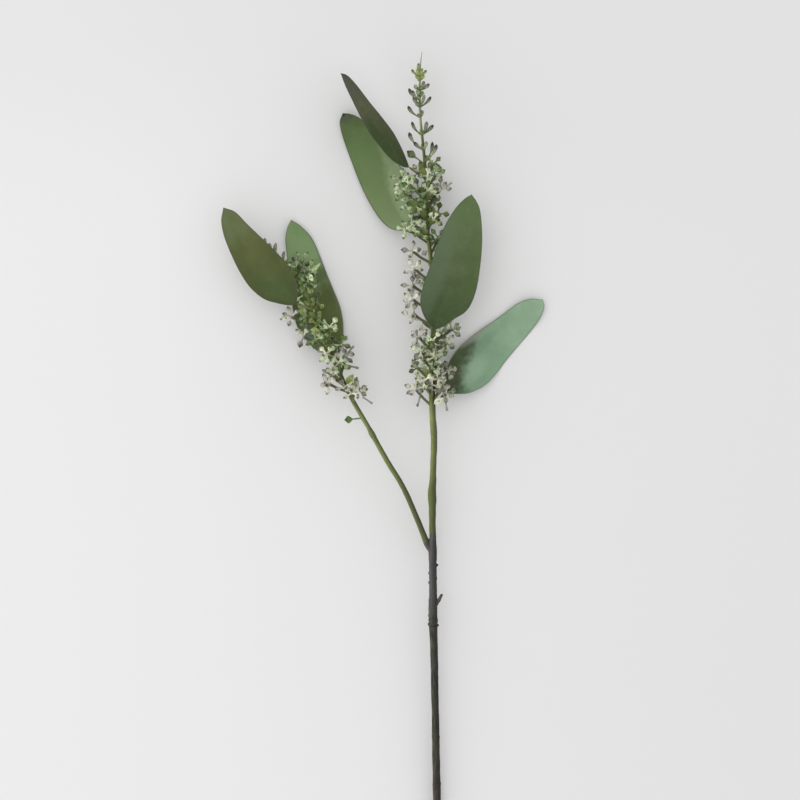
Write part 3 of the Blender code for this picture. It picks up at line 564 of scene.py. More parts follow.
class Skin:
    """Points and faces gathered for one piece, with marks that its material reads."""

    def __init__(self):
        self.points = []
        self.faces = []
        self.marks = []
        self.places = []

    def add(self, points, mark, place=(0.0, 0.0, 0.0)):
        first = len(self.points)
        self.points.extend(points)
        self.marks.extend([mark] * len(points))
        self.places.extend([place] * len(points))
        return list(range(first, len(self.points)))

    def bridge(self, near, far):
        """Faces between two rings of as many points, or from a ring to a single point."""
        count = len(near)
        for side in range(count):
            after = (side + 1) % count
            if len(far) == 1:
                self.faces.append((near[side], near[after], far[0]))
            else:
                self.faces.append((near[side], near[after], far[after], far[side]))

    def close(self, rings):
        """Faces along a row of rings and over both of its ends."""
        for near, far in zip(rings, rings[1:]):
            self.bridge(near, far)
        self.faces.append(tuple(reversed(rings[0])))
        if len(rings[-1]) > 1:
            self.faces.append(tuple(rings[-1]))

    def tube(self, rows, sides, marks, ribs=0.0, slant=0.0):
        """A round solid along rows of x, y, z and radius. A last radius of 0 is a point."""
        points = [Vector(row[:3]) for row in rows]
        rings = []
        for (across, up), point, row, mark in zip(ring_directions(points), points, rows, marks):
            if row[3] == 0:
                rings.append(self.add([point], mark))
                continue
            ring = []
            for side in range(sides):
                turn = 2 * math.pi * side / sides
                radius = row[3] * (1 + ribs * math.cos(4 * turn))
                offset = (across * math.cos(turn) + up * math.sin(turn)) * radius
                if slant and not rings:
                    ahead = (points[1] - points[0]).normalized()
                    offset += ahead * offset.dot(across) * slant
                ring.append(point + offset)
            rings.append(self.add(ring, mark))
        self.close(rings)

    def piece(self, name, material):
        data = bpy.data.meshes.new(name)
        data.from_pydata([point * MM for point in self.points], [], self.faces)
        for key, values in (("mark", self.marks), ("place", self.places)):
            attribute = data.attributes.new(key, "FLOAT_VECTOR", "POINT")
            attribute.data.foreach_set("vector", [number for value in values for number in value])
        data.materials.append(material)
        data.shade_smooth()
        obj = bpy.data.objects.new(name, data)
        bpy.context.scene.collection.objects.link(obj)
        return obj


def dress(obj, slot, *nodes):
    """Make a piece ride with the sprig and stand for CAD nodes, whose parts it hides. The slot is not used.
    """
    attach(obj, "root")
    if nodes:
        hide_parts(*nodes)


def plain_marks(rows, mark=(0.0, 0.0, 0.0)):
    return [mark] * len(rows)


# Materials

def linear(colour):
    """A colour of 0 to 255 steps, as seen on a screen, in linear light."""
    parts = [step / 255 for step in colour]
    light = [part / 12.92 if part <= 0.04045 else ((part + 0.055) / 1.055) ** 2.4 for part in parts]
    return (*light, 1.0)


def new_material(name, specular):
    material = bpy.data.materials.new(name)
    material.use_nodes = True
    shader = material.node_tree.nodes["Principled BSDF"]
    shader.inputs["Specular IOR Level"].default_value = specular
    return material, material.node_tree, shader


def add_node(tree, kind, inputs, **settings):
    """A node with its properties and inputs set. A socket is linked, and anything else is a value."""
    node = tree.nodes.new("ShaderNode" + kind)
    for name, value in settings.items():
        setattr(node, name, value)
    for key, value in inputs.items():
        if isinstance(value, bpy.types.NodeSocket):
            tree.links.new(value, node.inputs[key])
        else:
            node.inputs[key].default_value = value
    return node


def mix(tree, share, first, second, blend="MIX"):
    """A colour between two colours."""
    node = add_node(tree, "Mix", {0: share, 6: first, 7: second}, data_type="RGBA", blend_type=blend)
    return node.outputs[2]


def paint(tree, share, colour, steps):
    """A colour with a share of another one, given in steps of 0 to 255."""
    return mix(tree, share, colour, linear(steps))


def calc(tree, operation, *values):
    node = add_node(tree, "Math", dict(enumerate(values)), operation=operation)
    return node.outputs[0]


def distance(tree, value, place):
    return calc(tree, "ABSOLUTE", calc(tree, "SUBTRACT", value, place))


def span(tree, value, low, high, start=0.0, end=1.0):
    """A value carried smoothly from start to end while another goes from low to high."""
    inputs = {"Value": value, "From Min": low, "From Max": high, "To Min": start, "To Max": end}
    return add_node(tree, "MapRange", inputs, interpolation_type="SMOOTHSTEP").outputs["Result"]


def stretched(tree, vector, scale):
    return add_node(tree, "VectorMath", {0: vector, 1: scale}, operation="MULTIPLY").outputs[0]


def speckle(tree, vector, scale, detail=2.0, roughness=0.5):
    inputs = {"Vector": vector, "Scale": scale, "Detail": detail, "Roughness": roughness}
    return add_node(tree, "TexNoise", inputs).outputs["Fac"]


def parts_of(tree, vector):
    return add_node(tree, "SeparateXYZ", {0: vector}).outputs


def ramp(tree, value, stops):
    """A colour read from stops of place and colour."""
    node = add_node(tree, "ValToRGB", {0: value})
    elements = node.color_ramp.elements
    while len(elements) < len(stops):
        elements.new(0.5)
    for element, (place, colour) in zip(elements, stops):
        element.position = place
        element.color = linear(colour)
    return node.outputs["Color"]


def millimetres(tree):
    """The piece's own coordinates, in millimetres."""
    coordinates = add_node(tree, "TexCoord", {}).outputs["Object"]
    return stretched(tree, coordinates, (1000.0, 1000.0, 1000.0))


def attribute(tree, name):
    return add_node(tree, "Attribute", {}, attribute_name=name).outputs["Vector"]


def add_bump(tree, shader, height, distance, strength=1.0):
    inputs = {"Height": height, "Distance": distance * MM, "Strength": strength}
    tree.links.new(add_node(tree, "Bump", inputs).outputs["Normal"], shader.inputs["Normal"])


def multiplied(tree, colour, level):
    """A colour times a level."""
    grey = add_node(tree, "CombineXYZ", {0: level, 1: level, 2: level}).outputs[0]
    return mix(tree, 1.0, colour, grey, "MULTIPLY")


def shade_by(tree, colour, value, dark, light):
    """A colour made darker or lighter where a value is low or high."""
    level = add_node(tree, "MapRange", {"Value": value, "To Min": dark, "To Max": light}).outputs["Result"]
    return multiplied(tree, colour, level)


def connect(tree, shader, colour, roughness):
    tree.links.new(colour, shader.inputs["Base Color"])
    tree.links.new(roughness, shader.inputs["Roughness"])


def stem_material(name):
    """Dark, finely ridged bark that turns to a smooth olive green above the fork."""
    material, tree, shader = new_material(name, 0.35)
    place = millimetres(tree)
    x, y = parts_of(tree, place)[:2]
    side = parts_of(tree, attribute(tree, "mark"))[0]
    ridges = speckle(tree, stretched(tree, place, (1.0, 0.07, 1.0)), 1.3, 3.0, 0.6)
    flecks = speckle(tree, stretched(tree, place, (1.0, 0.5, 1.0)), 1.9, 2.0, 0.6)
    patches = speckle(tree, place, 0.05, 2.0)
    wander = calc(tree, "MULTIPLY_ADD", calc(tree, "SUBTRACT", patches, 0.5), 16.0, y)

    bark = ramp(tree, ridges, [(0.3, (23, 22, 20)), (0.5, (45, 44, 40)), (0.7, (79, 77, 71))])
    bark = paint(tree, span(tree, y, -125.0, -90.0, 0.0, 0.26), bark, (106, 103, 104))
    uneven = calc(tree, "MULTIPLY_ADD", ridges, 6.0, y)
    for at, depth in ((-109.2, 0.75), (-104.0, 0.4)):
        groove = distance(tree, uneven, at)
        bark = paint(tree, span(tree, groove, 0.9, 0.2, 0.0, depth), bark, (26, 24, 24))
    mossy = paint(tree, 0.5, bark, (64, 64, 46))
    older = calc(tree, "MULTIPLY", span(tree, patches, 0.36, 0.58), span(tree, y, -110.0, -135.0))
    bark = mix(tree, older, bark, mossy)
    rusty = paint(tree, 0.5, bark, (74, 58, 50))
    bark = mix(tree, span(tree, y, -205.0, -245.0), bark, rusty)
    bark = paint(tree, span(tree, y, -135.0, -155.0, 0.0, 0.14), bark, (16, 15, 13))
    bark = paint(tree, span(tree, flecks, 0.66, 0.8, 0.0, 0.6), bark, (128, 124, 114))

    # Colours of the green stem by its place along the sprig, from its foot to its tip. The darker stops among
    # the umbels are partly painted shade that the buds cast on the stem.
    reach = SPRIG_LENGTH / 2 - FORK_Y
    stops = [
        (-38, (74, 84, 38)), (-10, (86, 98, 48)), (32, (112, 122, 70)), (48, (80, 88, 44)),
        (90, (78, 86, 42)), (130, (94, 104, 54)), (180, (88, 96, 50)), (205, (78, 84, 44)),
        (228, (80, 86, 48)), (240, (134, 140, 104)), (249, (140, 147, 114)), (257, (102, 109, 66)),
        (268, (136, 146, 88)), (277, (142, 152, 92)),
    ]
    along = calc(tree, "DIVIDE", calc(tree, "SUBTRACT", wander, FORK_Y), reach)
    green = ramp(tree, along, [((at - FORK_Y) / reach, colour) for at, colour in stops])
    scars = span(tree, flecks, 0.54, 0.72, 0.0, 0.6)
    # The stem's two swellings carry more scars.
    for at in (-19.0, 22.0):
        near = span(tree, distance(tree, y, at), 12.0, 4.0)
        more_scars = calc(tree, "MULTIPLY", near, span(tree, flecks, 0.44, 0.54, 0.0, 0.6))
        green = paint(tree, more_scars, green, (58, 70, 34))
    green = paint(tree, scars, green, (104, 92, 66))
    brownish = calc(tree, "MULTIPLY", span(tree, x, 33.0, 24.0), span(tree, flecks, 0.5, 0.62, 0.0, 0.7))
    brownish = calc(tree, "MULTIPLY", brownish, span(tree, y, 10.0, -30.0))
    green = paint(tree, brownish, green, (70, 66, 44))
    low = calc(tree, "MULTIPLY", span(tree, x, 33.0, 24.0), span(tree, y, -8.0, -48.0, 0.0, 0.55))
    green = paint(tree, low, green, (74, 72, 46))
    green = shade_by(tree, green, ridges, 0.82, 1.18)
    hair = span(tree, y, 279.0, 282.0)
    green = paint(tree, hair, green, (158, 156, 150))

    # The side branch stays green further down than the main stem.
    climb = calc(tree, "ADD", wander, span(tree, x, 33.5, 30.0, 0.0, 7.0))
    turned = span(tree, climb, -49.5, -45.5)
    colour = mix(tree, turned, bark, green)
    # Painted light and shade: the left side is made lighter and the right side darker, as if lit from the
    # left.
    painted_side_light = add_node(tree, "MapRange", {"Value": side, "From Min": -1.0, "From Max": 1.0}).outputs["Result"]
    colour = shade_by(tree, colour, painted_side_light, 0.12, 1.98)
    connect(tree, shader, colour, span(tree, turned, 0.0, 1.0, 0.82, 0.55))
    height = calc(tree, "MULTIPLY_ADD", flecks, 0.4, ridges)
    add_bump(tree, shader, height, 0.35, 0.7)
    return material


def bud_material(name):
    """Buds and their stalks, from fresh green to grey with a waxy bloom, darker at the tips.

    A point's mark is its place from the foot (0) to the tip (1), its colour place and its lightness, which
    carries painted light and shade as well.
    """
    material, tree, shader = new_material(name, 0.3)
    place = millimetres(tree)
    along, tone, light = parts_of(tree, attribute(tree, "mark"))[:3]
    mottle = speckle(tree, place, 0.55, 3.0, 0.6)
    grain = speckle(tree, place, 3.4, 2.0, 0.6)
    shifted = calc(tree, "MULTIPLY_ADD", calc(tree, "SUBTRACT", mottle, 0.5), 0.5, tone)

    body = ramp(tree, shifted, [
        (0.0, (166, 178, 112)), (0.09, (98, 118, 58)), (0.25, (135, 159, 101)), (0.48, (195, 214, 173)),
        (0.7, (206, 209, 176)), (0.9, (206, 204, 188)), (1.0, (201, 197, 188)),
    ])
    stalk = ramp(tree, shifted, [
        (0.0, (146, 160, 90)), (0.09, (104, 130, 62)), (0.4, (190, 205, 162)), (0.75, (218, 219, 196)),
        (1.0, (223, 220, 207)),
    ])
    foot = ramp(tree, shifted, [
        (0.0, (112, 128, 60)), (0.1, (86, 102, 44)), (0.4, (102, 114, 66)), (0.8, (86, 85, 64)),
        (1.0, (77, 74, 64)),
    ])
    tip = mix(tree, span(tree, tone, 0.1, 0.8), linear((58, 72, 30)), linear((56, 53, 47)))
    # The stalks' feet are darker: partly their own colour and partly painted shade deep in the umbel.
    colour = mix(tree, span(tree, along, 0.07, 0.16), foot, stalk)
    colour = mix(tree, span(tree, along, 0.25, 0.5), colour, body)
    colour = mix(tree, span(tree, along, 0.66, 0.92, 0.0, 0.95), colour, tip)
    rim = calc(tree, "SUBTRACT", 1.0, span(tree, distance(tree, along, 0.69), 0.0, 0.03))
    colour = mix(tree, calc(tree, "MULTIPLY", rim, 0.55), colour, tip)
    bare = span(tree, mottle, 0.5, 0.34, 0.0, 0.7)
    bare = calc(tree, "MULTIPLY", bare, span(tree, tone, -0.05, 0.1))
    skin = mix(tree, span(tree, tone, 0.3, 0.9), linear((74, 94, 44)), linear((95, 90, 80)))
    colour = mix(tree, bare, colour, skin)
    colour = shade_by(tree, colour, grain, 0.8, 1.3)
    # Painted light and shade: the colour times the bud's lightness.
    colour = multiplied(tree, colour, light)
    connect(tree, shader, colour, span(tree, grain, 0.3, 0.7, 0.5, 0.72))
    add_bump(tree, shader, calc(tree, "MULTIPLY_ADD", mottle, 1.5, grain), 0.16, 0.6)
    return material


def patch_mask(tree, share, turn, wobble, at, side, reach, width, strength):
    """How strongly a soft patch of a leaf (painted shade, painted light, or a colour of its own) shows."""
    along = calc(tree, "DIVIDE", calc(tree, "SUBTRACT", share, at), reach)
    across = calc(tree, "DIVIDE", calc(tree, "SUBTRACT", turn, side), width)
    spread = calc(tree, "MULTIPLY_ADD", across, across, calc(tree, "MULTIPLY", along, along))
    return span(tree, calc(tree, "ADD", spread, wobble), 1.2, 0.1, 0.0, strength)


def leaf_material(name, stops, rim, under, patches):
    """A waxy leaf: colour along its length with painted light and shade, faint veins, a thin rim and a paler
    underside.

    A point's mark is its distance across, along and from the margin. Its place is its share of the length,
    its place from the left margin (-1) to the right one (1), and whether it is on the underside (1).
    """
    material, tree, shader = new_material(name, 0.18)
    across, along, edge = parts_of(tree, attribute(tree, "mark"))[:3]
    share, turn, below = parts_of(tree, attribute(tree, "place"))[:3]
    place = millimetres(tree)
    clouds = speckle(tree, place, 0.06, 3.0, 0.55)
    bloom = speckle(tree, place, 0.22, 4.0, 0.6)
    grain = speckle(tree, place, 2.6, 3.0, 0.65)
    reach = calc(tree, "ABSOLUTE", across)

    # Side veins leave the midrib at a slant and fade towards the rim.
    slanted = calc(tree, "MULTIPLY_ADD", reach, VEIN_SLANT, along)
    bent = calc(tree, "MULTIPLY_ADD", clouds, 5.0, slanted)
    wave = calc(tree, "ABSOLUTE", calc(tree, "SINE", calc(tree, "MULTIPLY", bent, math.pi / VEIN_SPACING)))
    veins = calc(tree, "MULTIPLY", span(tree, wave, 0.16, 0.0), span(tree, edge, 0.8, 3.0))
    cells = add_node(tree, "TexVoronoi", {"Vector": place, "Scale": 0.75}, feature="DISTANCE_TO_EDGE")
    net = span(tree, cells.outputs["Distance"], 0.12, 0.0)
    midrib = span(tree, reach, 0.75, 0.2)

    drift = calc(tree, "MULTIPLY_ADD", calc(tree, "SUBTRACT", clouds, 0.5), 0.5, share)
    drift = calc(tree, "MULTIPLY_ADD", turn, 0.07, drift)
    colour = ramp(tree, drift, stops)
    wobble = calc(tree, "MULTIPLY_ADD", clouds, 0.8, calc(tree, "MULTIPLY_ADD", bloom, 0.9, -0.85))
    # Patches of painted shade and painted light where the blade curls from the light, with some of the leaf's
    # own colour.
    for at, side, reach_along, reach_across, tint, strength in patches:
        mask = patch_mask(tree, share, turn, wobble, at, side, reach_along, reach_across, strength)
        colour = paint(tree, mask, colour, tint)
    waxy = paint(tree, 0.5, colour, (138, 150, 134))
    colour = mix(tree, span(tree, bloom, 0.45, 0.8, 0.0, 0.16), colour, waxy)
    colour = shade_by(tree, colour, clouds, 0.9, 1.1)
    colour = shade_by(tree, colour, grain, 0.94, 1.06)
    veiny = paint(tree, 0.5, colour, (150, 160, 118))
    colour = mix(tree, calc(tree, "MULTIPLY", veins, 0.1), colour, veiny)
    colour = mix(tree, calc(tree, "MULTIPLY", net, 0.06), colour, veiny)
    colour = mix(tree, calc(tree, "MULTIPLY", midrib, 0.04), colour, veiny)
    paler = paint(tree, 0.55, colour, under)
    colour = mix(tree, below, colour, paler)
    ragged = calc(tree, "MULTIPLY_ADD", grain, 0.5, edge)
    colour = paint(tree, span(tree, ragged, 1.15, 0.45, 0.0, 0.75), colour, rim)
    stalk = mix(tree, span(tree, bloom, 0.35, 0.65), linear((84, 84, 52)), linear((112, 116, 74)))
    colour = mix(tree, span(tree, share, 0.0, -0.04), colour, stalk)
    connect(tree, shader, colour, span(tree, bloom, 0.3, 0.7, 0.52, 0.68))

    height = calc(tree, "MULTIPLY_ADD", veins, -0.5, calc(tree, "MULTIPLY", grain, 0.35))
    height = calc(tree, "MULTIPLY_ADD", net, -0.2, height)
    height = calc(tree, "MULTIPLY_ADD", midrib, -0.25, height)
    add_bump(tree, shader, height, 0.22, 0.6)
    return material


def cut_material(name):
    """Pale, fresh wood with growth rings, a green rim under the bark and a brown pith."""
    material, tree, shader = new_material(name, 0.25)
    radius = parts_of(tree, attribute(tree, "mark"))[0]
    place = millimetres(tree)
    grain = speckle(tree, place, 2.8, 3.0, 0.6)
    bent = calc(tree, "MULTIPLY_ADD", grain, 0.25, radius)
    colour = ramp(tree, calc(tree, "DIVIDE", bent, CUT_RADIUS), [
        (0.0, (104, 84, 58)), (0.12, (128, 106, 74)), (0.2, (206, 190, 150)), (0.75, (196, 182, 138)),
        (0.86, (150, 150, 92)), (0.96, (84, 76, 60)),
    ])
    rings = calc(tree, "SINE", calc(tree, "MULTIPLY", bent, 2 * math.pi / 0.55))
    colour = shade_by(tree, colour, rings, 0.98, 1.03)
    colour = shade_by(tree, colour, grain, 0.85, 1.12)
    connect(tree, shader, colour, span(tree, grain, 0.3, 0.7, 0.75, 0.9))
    add_bump(tree, shader, calc(tree, "MULTIPLY_ADD", rings, 0.2, grain), 0.15, 0.6)
    return material


def floor_material(name):
    """A pale floor with painted light: it darkens a little to the right and upwards, as if lit from the upper
    left.
    """
    material, tree, shader = new_material(name, 0.1)
    place = millimetres(tree)
    soft = speckle(tree, place, 0.002, 2.0)
    x, y = parts_of(tree, place)[:2]
    drift = calc(tree, "MULTIPLY_ADD", soft, 0.2, span(tree, x, -320.0, 320.0, -0.1, 0.9))
    drift = calc(tree, "ADD", drift, span(tree, y, 150.0, 330.0, 0.0, 0.5))
    colour = ramp(tree, drift, [(0.0, (237, 237, 238)), (1.0, (226, 226, 227))])
    tree.links.new(colour, shader.inputs["Base Color"])
    shader.inputs["Roughness"].default_value = 0.95
    return material


# Stem and branches

def lengthwise(point, wide, long):
    """A place for noise that is drawn out along the sprig."""
    return Vector((point.x * wide, point.y * long, point.z * wide))


def bark_relief(point):
    """How far the bark stands out at a point, in millimetres."""
    ridges = 0.26 * noise.noise(lengthwise(point, 0.85, 0.05))
    fine = 0.12 * noise.noise(lengthwise(point, 2.3, 0.3))
    lumps = 0.22 * noise.noise(lengthwise(point, 0.12, 0.09))
    relief = ridges + fine + lumps
    for y, height, width in BARK_RINGS:
        ragged = 0.75 + 0.6 * noise.noise(lengthwise(point, 0.6, 0.0) + Vector((0, y, 0)))
        wander = 0.5 * noise.noise(lengthwise(point, 0.35, 0.0) + Vector((y, 0, 0)))
        relief += height * ragged * math.exp(-((point.y - y + wander) / width) ** 2)
    return relief * min(max((FORK_Y - point.y) / RELIEF_FADE, 0.0), 1.0)


def side_mark(normal):
    """The mark of a stem's point: how far it faces left (1) or right (-1), most on the upper side. It sets
    the painted light and shade of the stem's sides.
    """
    return (-normal.x * (0.45 + 0.75 * max(normal.z, 0.0)), 0.0, 0.0)


def bark_stem(material):
    """The woody stem: one skin over the stem, its side stub, twig stub and knots."""
    rows = WOODY_AXIS + [MAIN_STUB_END]
    skin = Skin()
    path = smooth_path(rows, PATH_STEPS)
    skin.tube(path, STEM_SIDES, plain_marks(path), slant=CUT_SLANT)
    for points, sides in ((SIDE_STUB, BRANCH_SIDES), (TWIG_STUB, TWIG_SIDES)):
        path = smooth_path(points, PATH_STEPS)
        skin.tube(path, sides, plain_marks(path))
    for (x, y), way, length, radius in BARK_KNOTS:
        root = place_on(rows, y)[0]
        root.x = x
        tip = root + Vector(way).normalized() * length
        knot = [
            tuple(root) + (radius,),
            tuple(root.lerp(tip, 0.6)) + (radius * 0.8,),
            tuple(tip) + (radius * 0.4,),
        ]
        skin.tube(knot, TWIG_SIDES, plain_marks(knot))
    stem = skin.piece("bark_stem", material)
    remesh = stem.modifiers.new("remesh", "REMESH")
    remesh.mode = "VOXEL"
    remesh.voxel_size = BARK_VOXEL * MM
    remesh.use_smooth_shade = True
    smooth = stem.modifiers.new("smooth", "SMOOTH")
    smooth.factor = 0.5
    smooth.iterations = 3
    bake_modifiers(stem)
    normals = [Vector(normal.vector) for normal in stem.data.vertex_normals]
    for vert, normal in zip(stem.data.vertices, normals):
        vert.co += normal * bark_relief(vert.co / MM) * MM
    # These marks set the painted light and shade of the stem's sides.
    sides = stem.data.attributes.new("mark", "FLOAT_VECTOR", "POINT")
    sides.data.foreach_set("vector", [number for normal in normals for number in side_mark(normal)])
    dress(stem, "bark", "woody_stem")


def bake_modifiers(obj):
    """Keep the shape that an object's modifiers give it, and remove them."""
    graph = bpy.context.evaluated_depsgraph_get()
    shaped = bpy.data.meshes.new_from_object(obj.evaluated_get(graph))
    obj.modifiers.clear()
    obj.data = shaped
    obj.data.shade_smooth()


def cut_face(material):
    """The wood that shows at the cut end, just proud of the bark's end."""
    centre = Vector(WOODY_AXIS[0][:3])
    ahead = (Vector(WOODY_AXIS[1][:3]) - centre).normalized()
    across = Vector((0, 0, 1)).cross(ahead).normalized()
    up = ahead.cross(across)
    skin = Skin()
    rings = []
    for step in range(CUT_RINGS):
        radius = (CUT_RADIUS - CUT_INSET) * (CUT_RINGS - step) / CUT_RINGS
        points = []
        for side in range(STEM_SIDES):
            turn = 2 * math.pi * side / STEM_SIDES
            offset = (across * math.cos(turn) + up * math.sin(turn)) * radius
            rough = 0.06 * noise.noise((centre + offset) * 1.7)
            points.append(centre + offset + ahead * (offset.dot(across) * CUT_SLANT - CUT_PROUD + rough))
        rings.append(skin.add(points, (radius, 0.0, 0.0)))
    rings.append(skin.add([centre - ahead * CUT_PROUD], (0.0, 0.0, 0.0)))
    for near, far in zip(rings, rings[1:]):
        skin.bridge(near, far)
    skin.faces = [tuple(reversed(face)) for face in skin.faces]
    dress(skin.piece("cut_face", material), "bark")


def branch(name, axis, node, material):
    """A green branch that starts just inside the stub it grows from."""
    start = Vector(axis[0][:3])
    along = (Vector(axis[1][:3]) - start).normalized()
    inside = (*(start - along * BRANCH_SUNK), axis[0][3] - BRANCH_THINNER)
    rows = [inside] + smooth_path(axis, PATH_STEPS)
    skin = Skin()
    skin.tube(rows, BRANCH_SIDES, plain_marks(rows))
    for index, point in enumerate(skin.points):
        row = rows[index // BRANCH_SIDES] if index // BRANCH_SIDES < len(rows) else rows[-1]
        out = (point - Vector(row[:3])).normalized()
        # The mark sets the painted light and shade of the branch's sides.
        skin.marks[index] = side_mark(out)
        swell = 0.10 * noise.noise(lengthwise(point, 0.3, 0.16))
        swell += 0.06 * noise.noise(lengthwise(point, 1.3, 0.12))
        fade = min((point.y - start.y) / 8.0, 1.0)
        skin.points[index] = point + out * swell * row[3] * max(fade, 0.0)
    dress(skin.piece(name, material), "green_shoot", node)


# Buds

def add_bud(skin, root, way, stalk, length, radius, tone, light, bend=None, profile=BUD_PROFILE):
    """A stalked bud: a thin stalk, a cup that widens to its rim and a pointed cap."""
    bend = bend or Vector((0, 0, 0))
    rows = []
    marks = []
    for share, thickness in ((0.0, 1.5), (0.25, 1.1), (0.55, 0.95), (0.85, 1.0)):
        point = root + way * stalk * share + bend * math.sin(math.pi * share)
        rows.append(tuple(point) + (PEDICEL_RADIUS * thickness,))
        marks.append((0.12 + 0.18 * share, tone, light))
    for share, thickness in profile:
        rows.append(tuple(root + way * (stalk + length * share)) + (radius * thickness,))
        marks.append((0.3 + 0.7 * share, tone, light))
    skin.tube(rows, BUD_SIDES, marks, ribs=0.05)


def widest_gap(ways, draw):
    """A direction that keeps well away from those taken already."""
    best = None
    room = -1.0
    for _ in range(DIRECTIONS_TRIED):
        turn = draw.uniform(0, 2 * math.pi)
        rise = draw.uniform(-0.75, 0.9)
        level = math.sqrt(1 - rise * rise)
        way = Vector((math.cos(turn) * level, math.sin(turn) * level, rise))
        gap = min(way.angle(other) for other in ways)
        if gap > room:
            best = way
            room = gap
    return best


def add_umbel(skin, axis, umbel, draw, more):
    """The stalk of one umbel with its buds, those of the solid first."""
    y, centre, count, flatness, extra, tone, light = umbel
    start, _, along = place_on(axis, y)
    centre = Vector(centre)
    middle = start.lerp(centre, 0.55) + along * -0.8
    path = smooth_path([tuple(start), tuple(middle), tuple(centre)], STALK_STEPS)
    rows = []
    marks = []
    for index, point in enumerate(path):
        share = index / (len(path) - 1)
        flare = 1.0 + 0.7 * math.exp(-share * 7) + 0.5 * math.exp(-(1 - share) * 6)
        rows.append(point + (PEDUNCLE_RADIUS * 0.92 * flare,))
        marks.append((0.12 * share ** 3, tone * share ** 0.5, min(light, 1.0)))
    end = centre + (centre - middle).normalized() * PEDUNCLE_RADIUS
    rows.append(tuple(end) + (PEDUNCLE_RADIUS * 0.6,))
    marks.append((0.12, tone, light))
    skin.tube(rows, STALK_SIDES, marks)

    out = (centre - middle).normalized()
    side = out.cross(Vector((0.2, 0.1, 1.0))).normalized()
    other = out.cross(side)
    phase = draw.uniform(0, 2 * math.pi)
    ways = []
    for index in range(count):
        tilt = BUD_SPREAD * math.sqrt((index + 0.35) / count)
        turn = phase + index * GOLDEN_TURN
        way = out * math.cos(tilt) + (side * math.cos(turn) + other * math.sin(turn)) * math.sin(tilt)
        way.z *= flatness
        way.normalize()
        stalk = PEDICEL_LENGTH * draw.uniform(0.85, 1.15)
        length = BUD_LENGTH * draw.uniform(0.92, 1.1)
        radius = BUD_RADIUS * draw.uniform(0.9, 1.1)
        ways.append((way, stalk, length, radius))
    for _ in range(extra):
        way = widest_gap([known[0] for known in ways] + [-out], more)
        way.z *= flatness
        way.normalize()
        stalk = PEDICEL_LENGTH * more.uniform(0.8, 1.1)
        length = BUD_LENGTH * more.uniform(0.8, 1.05)
        radius = BUD_RADIUS * more.uniform(0.8, 1.02)
        ways.append((way, stalk, length, radius))
    for way, stalk, length, radius in ways:
        bend = way.orthogonal().normalized() * more.uniform(-0.35, 0.35)
        own_tone = tone + more.uniform(-0.2, 0.2)
        # Painted light and shade: each bud is made lighter or darker at random, some as if lit and some as if
        # shaded by the others.
        own_light = light * more.choice((0.5, 0.75, 1.0, 1.15, 1.3)) * more.uniform(0.9, 1.1)
        own_light = min(own_light, 1.0 if own_tone < 0.35 else 1.2 if own_tone < 0.65 else 1.3)
        add_bud(skin, centre, way, stalk, length, radius * 0.95, own_tone, own_light, bend)


def fill_umbels(axis, zones, draw):
    """Small umbels on short stalks all round the axis, in the same form as the others."""
    found = []
    for low, high, count, tones, top in zones:
        for index in range(count):
            y = low + (high - low) * (index + draw.uniform(0.1, 0.9)) / count
            start, _, along = place_on(axis, y)
            turn = index * GOLDEN_TURN + draw.uniform(-0.4, 0.4)
            out = Vector((math.cos(turn), 0.0, math.sin(turn))) * draw.uniform(4.0, 7.5)
            centre = start + out + along * draw.uniform(2.5, 6.0)
            centre.z = min(centre.z, top)
            found.append((y, tuple(centre), 0, 0.8, 3, draw.uniform(*tones), draw.uniform(0.75, 1.15)))
    return found


def fill_bracts(axis, zones, draw):
    """Small young leaves all round the axis, between the umbels."""
    found = []
    for low, high, count, top in zones:
        for index in range(count):
            y = low + (high - low) * (index + draw.uniform(0.1, 0.9)) / count
            start, radius, along = place_on(axis, y)
            turn = index * GOLDEN_TURN + draw.uniform(-0.5, 0.5)
            out = Vector((math.cos(turn), 0.0, math.sin(turn)))
            tip = start + out * draw.uniform(3.0, 5.5) + along * draw.uniform(2.5, 5.5)
            tip.z = min(tip.z, top)
            root = start + out * radius * 0.5
            width = draw.uniform(2.4, 4.2)
            found.append((tuple(root), tuple(tip), width, draw.uniform(0.0, 0.22), draw.uniform(0.6, 1.05)))
    return found


def add_lone_bud(skin, axis, entry, profile=BUD_PROFILE):
    """A bud on its own stalk, ending at a given point."""
    y, end, length, radius, tone, light = entry
    start = place_on(axis, y)[0]
    way = Vector(end) - start
    stalk = way.length - length
    add_bud(skin, start, way.normalized(), stalk, length, radius * 0.97, tone, light, profile=profile)


def add_bare_stalk(skin, entry):
    """A stalk that has lost its bud, with a thickened end."""
    start, end, tone, light = entry
    start = Vector(start)
    end = Vector(end)
    sag = Vector((0, 0, -0.5))
    rows = []
    marks = []
    for share, thickness in ((0, 1.5), (0.25, 1.2), (0.5, 1.2), (0.75, 1.4), (0.9, 1.8), (1.0, 1.5)):
        point = start.lerp(end, share) + sag * math.sin(math.pi * share)
        rows.append((*point, PEDICEL_RADIUS * thickness))
        marks.append((0.15 + 0.5 * share ** 3, tone, light))
    skin.tube(rows, STALK_SIDES, marks)


